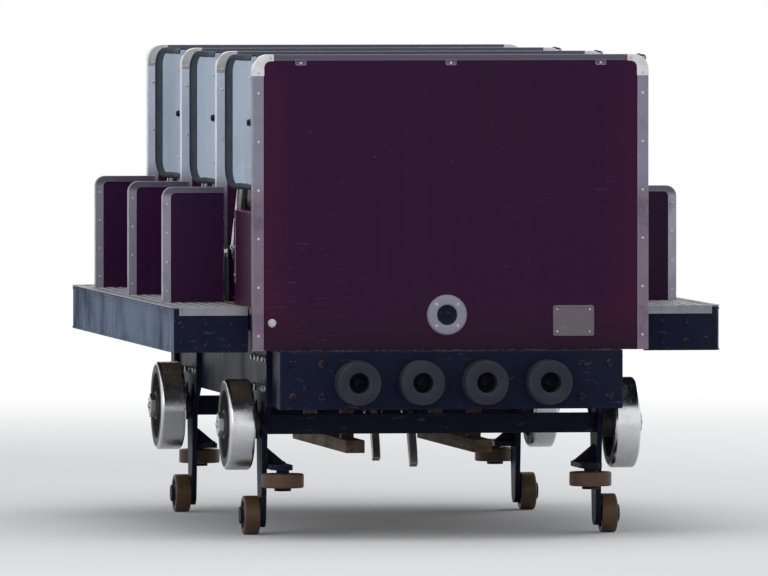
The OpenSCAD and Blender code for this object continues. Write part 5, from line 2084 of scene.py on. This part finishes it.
@dataclass
class Studio:
    """Pale floor, soft lights and the camera."""

    azimuth: float = -8.6
    elevation: float = 1.7
    distance: float = 45.0
    frame_width: float = 2.42
    sensor: float = 36.0
    reach: Flat = (1.0, 900.0)
    aim: float = 0.73
    lit: float = 0.8
    fill: float = 0.58
    key: float = 150.0
    side: float = 130.0
    half: float = 400.0
    thick: float = 0.01
    fade: Flat = (3.0, 11.0)

    def build(self) -> None:
        """Builds the stage round the car."""
        self.floor()
        self.world()
        self.lights()
        self.camera()
        bpy.context.scene.view_settings.view_transform = "Standard"
        LOG.info("Studio: floor, world, lights and camera")

    def floor(self) -> None:
        """Lays a wide pale floor that fades into the background far from the car."""
        shape, half = Shape(), self.half
        shape.skin([shape.ring((x, y, z) for x, y in (
            (-half, -half), (half, -half), (half, half), (-half, half)))
            for z in (-self.thick, 0.0)])
        floor = shape.piece("studio_floor")
        g = Graph("studio_floor_paint")
        x, y = g.part(g.place, "X"), g.part(g.place, "Y")
        far = g.math("POWER", x * x + y * y, 0.5)
        plain = g.add("ShaderNodeBsdfDiffuse", {}, {"Color": (0.80, 0.80, 0.81)})
        glow = g.add("ShaderNodeEmission", {}, {"Color": (1, 1, 1), "Strength": 1.0})
        g.end("ShaderNodeOutputMaterial", g.add("ShaderNodeMixShader", {}, {
            0: far.band(*self.fade) * self.seen_directly(g), 1: plain, 2: glow}))
        floor.data.materials.append(g.material)

    @staticmethod
    def seen_directly(sheet: NodeSheet) -> Wire:
        """Finds the rays that show a background: the camera's, and through gloss and glass."""
        rays = [sheet.add("ShaderNodeLightPath", {}, {}, f"Is {name} Ray") for name in
                ("Camera", "Glossy", "Transmission")]
        return (rays[0] + rays[1] + rays[2]).band(0.0, 1.0)

    def world(self) -> None:
        """Lights the car softly from all round, before a white background."""
        world = bpy.data.worlds.new("studio_world")
        world.use_nodes = True
        bpy.context.scene.world = world
        sheet = NodeSheet(world.node_tree)
        sheet.tree.nodes.clear()
        soft, white = (
            sheet.add("ShaderNodeBackground", {}, {"Color": colour, "Strength": strength})
            for colour, strength in (((0.96, 0.98, 1.0), self.fill), ((1, 1, 1), 1.0)))
        sheet.end("ShaderNodeOutputWorld", sheet.add("ShaderNodeMixShader", {}, {
            0: self.seen_directly(sheet), 1: soft, 2: white}))

    def lights(self) -> None:
        """Hangs large soft lamps above, behind and on both sides of the car."""
        for name, power, size, place in (
                ("top", self.key, 8.0, (0.5, -1.0, 6.5)),
                ("rear_left", self.side, 4.5, (-5.0, -6.0, 3.6)),
                ("front_right", self.side, 4.5, (5.5, 5.0, 4.0))):
            data = bpy.data.lights.new(f"lamp_{name}", "AREA")
            data.energy, data.size = power, size
            lamp = add_object(f"lamp_{name}", data)
            lamp.location = place
            aim = Vector((0.0, 0.0, self.lit)) - lamp.location
            lamp.rotation_euler = aim.to_track_quat("-Z", "Y").to_euler()
            lamp.visible_camera = False

    def camera(self) -> None:
        """Sets the camera far behind the car, as in the photograph."""
        data = bpy.data.cameras.new("camera")
        data.sensor_width = self.sensor
        data.lens = self.distance * self.sensor / self.frame_width
        data.clip_start, data.clip_end = self.reach
        camera = add_object("camera", data)
        a, e = math.radians(self.azimuth), math.radians(self.elevation)
        back = Vector((math.sin(a) * math.cos(e), -math.cos(a) * math.cos(e), math.sin(e)))
        camera.location = Vector((0.0, 0.0, self.aim)) + back * self.distance
        camera.rotation_euler = (-back).to_track_quat("-Z", "Y").to_euler()
        bpy.context.scene.camera = camera


def main() -> None:
    """Builds every sub-assembly in order, then the studio."""
    logging.basicConfig(level=logging.INFO, format="%(message)s")
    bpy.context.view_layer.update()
    shop = Workshop()
    for kind in (BodyBoards, RearFittings, SideEars, LegGuards, Benches, LapBars, Deck,
                 Underframe, WheelSets, RunningGear):
        kind(shop).build()
    shop.clear()
    Studio().build()


if __name__ == "__main__":
    main()
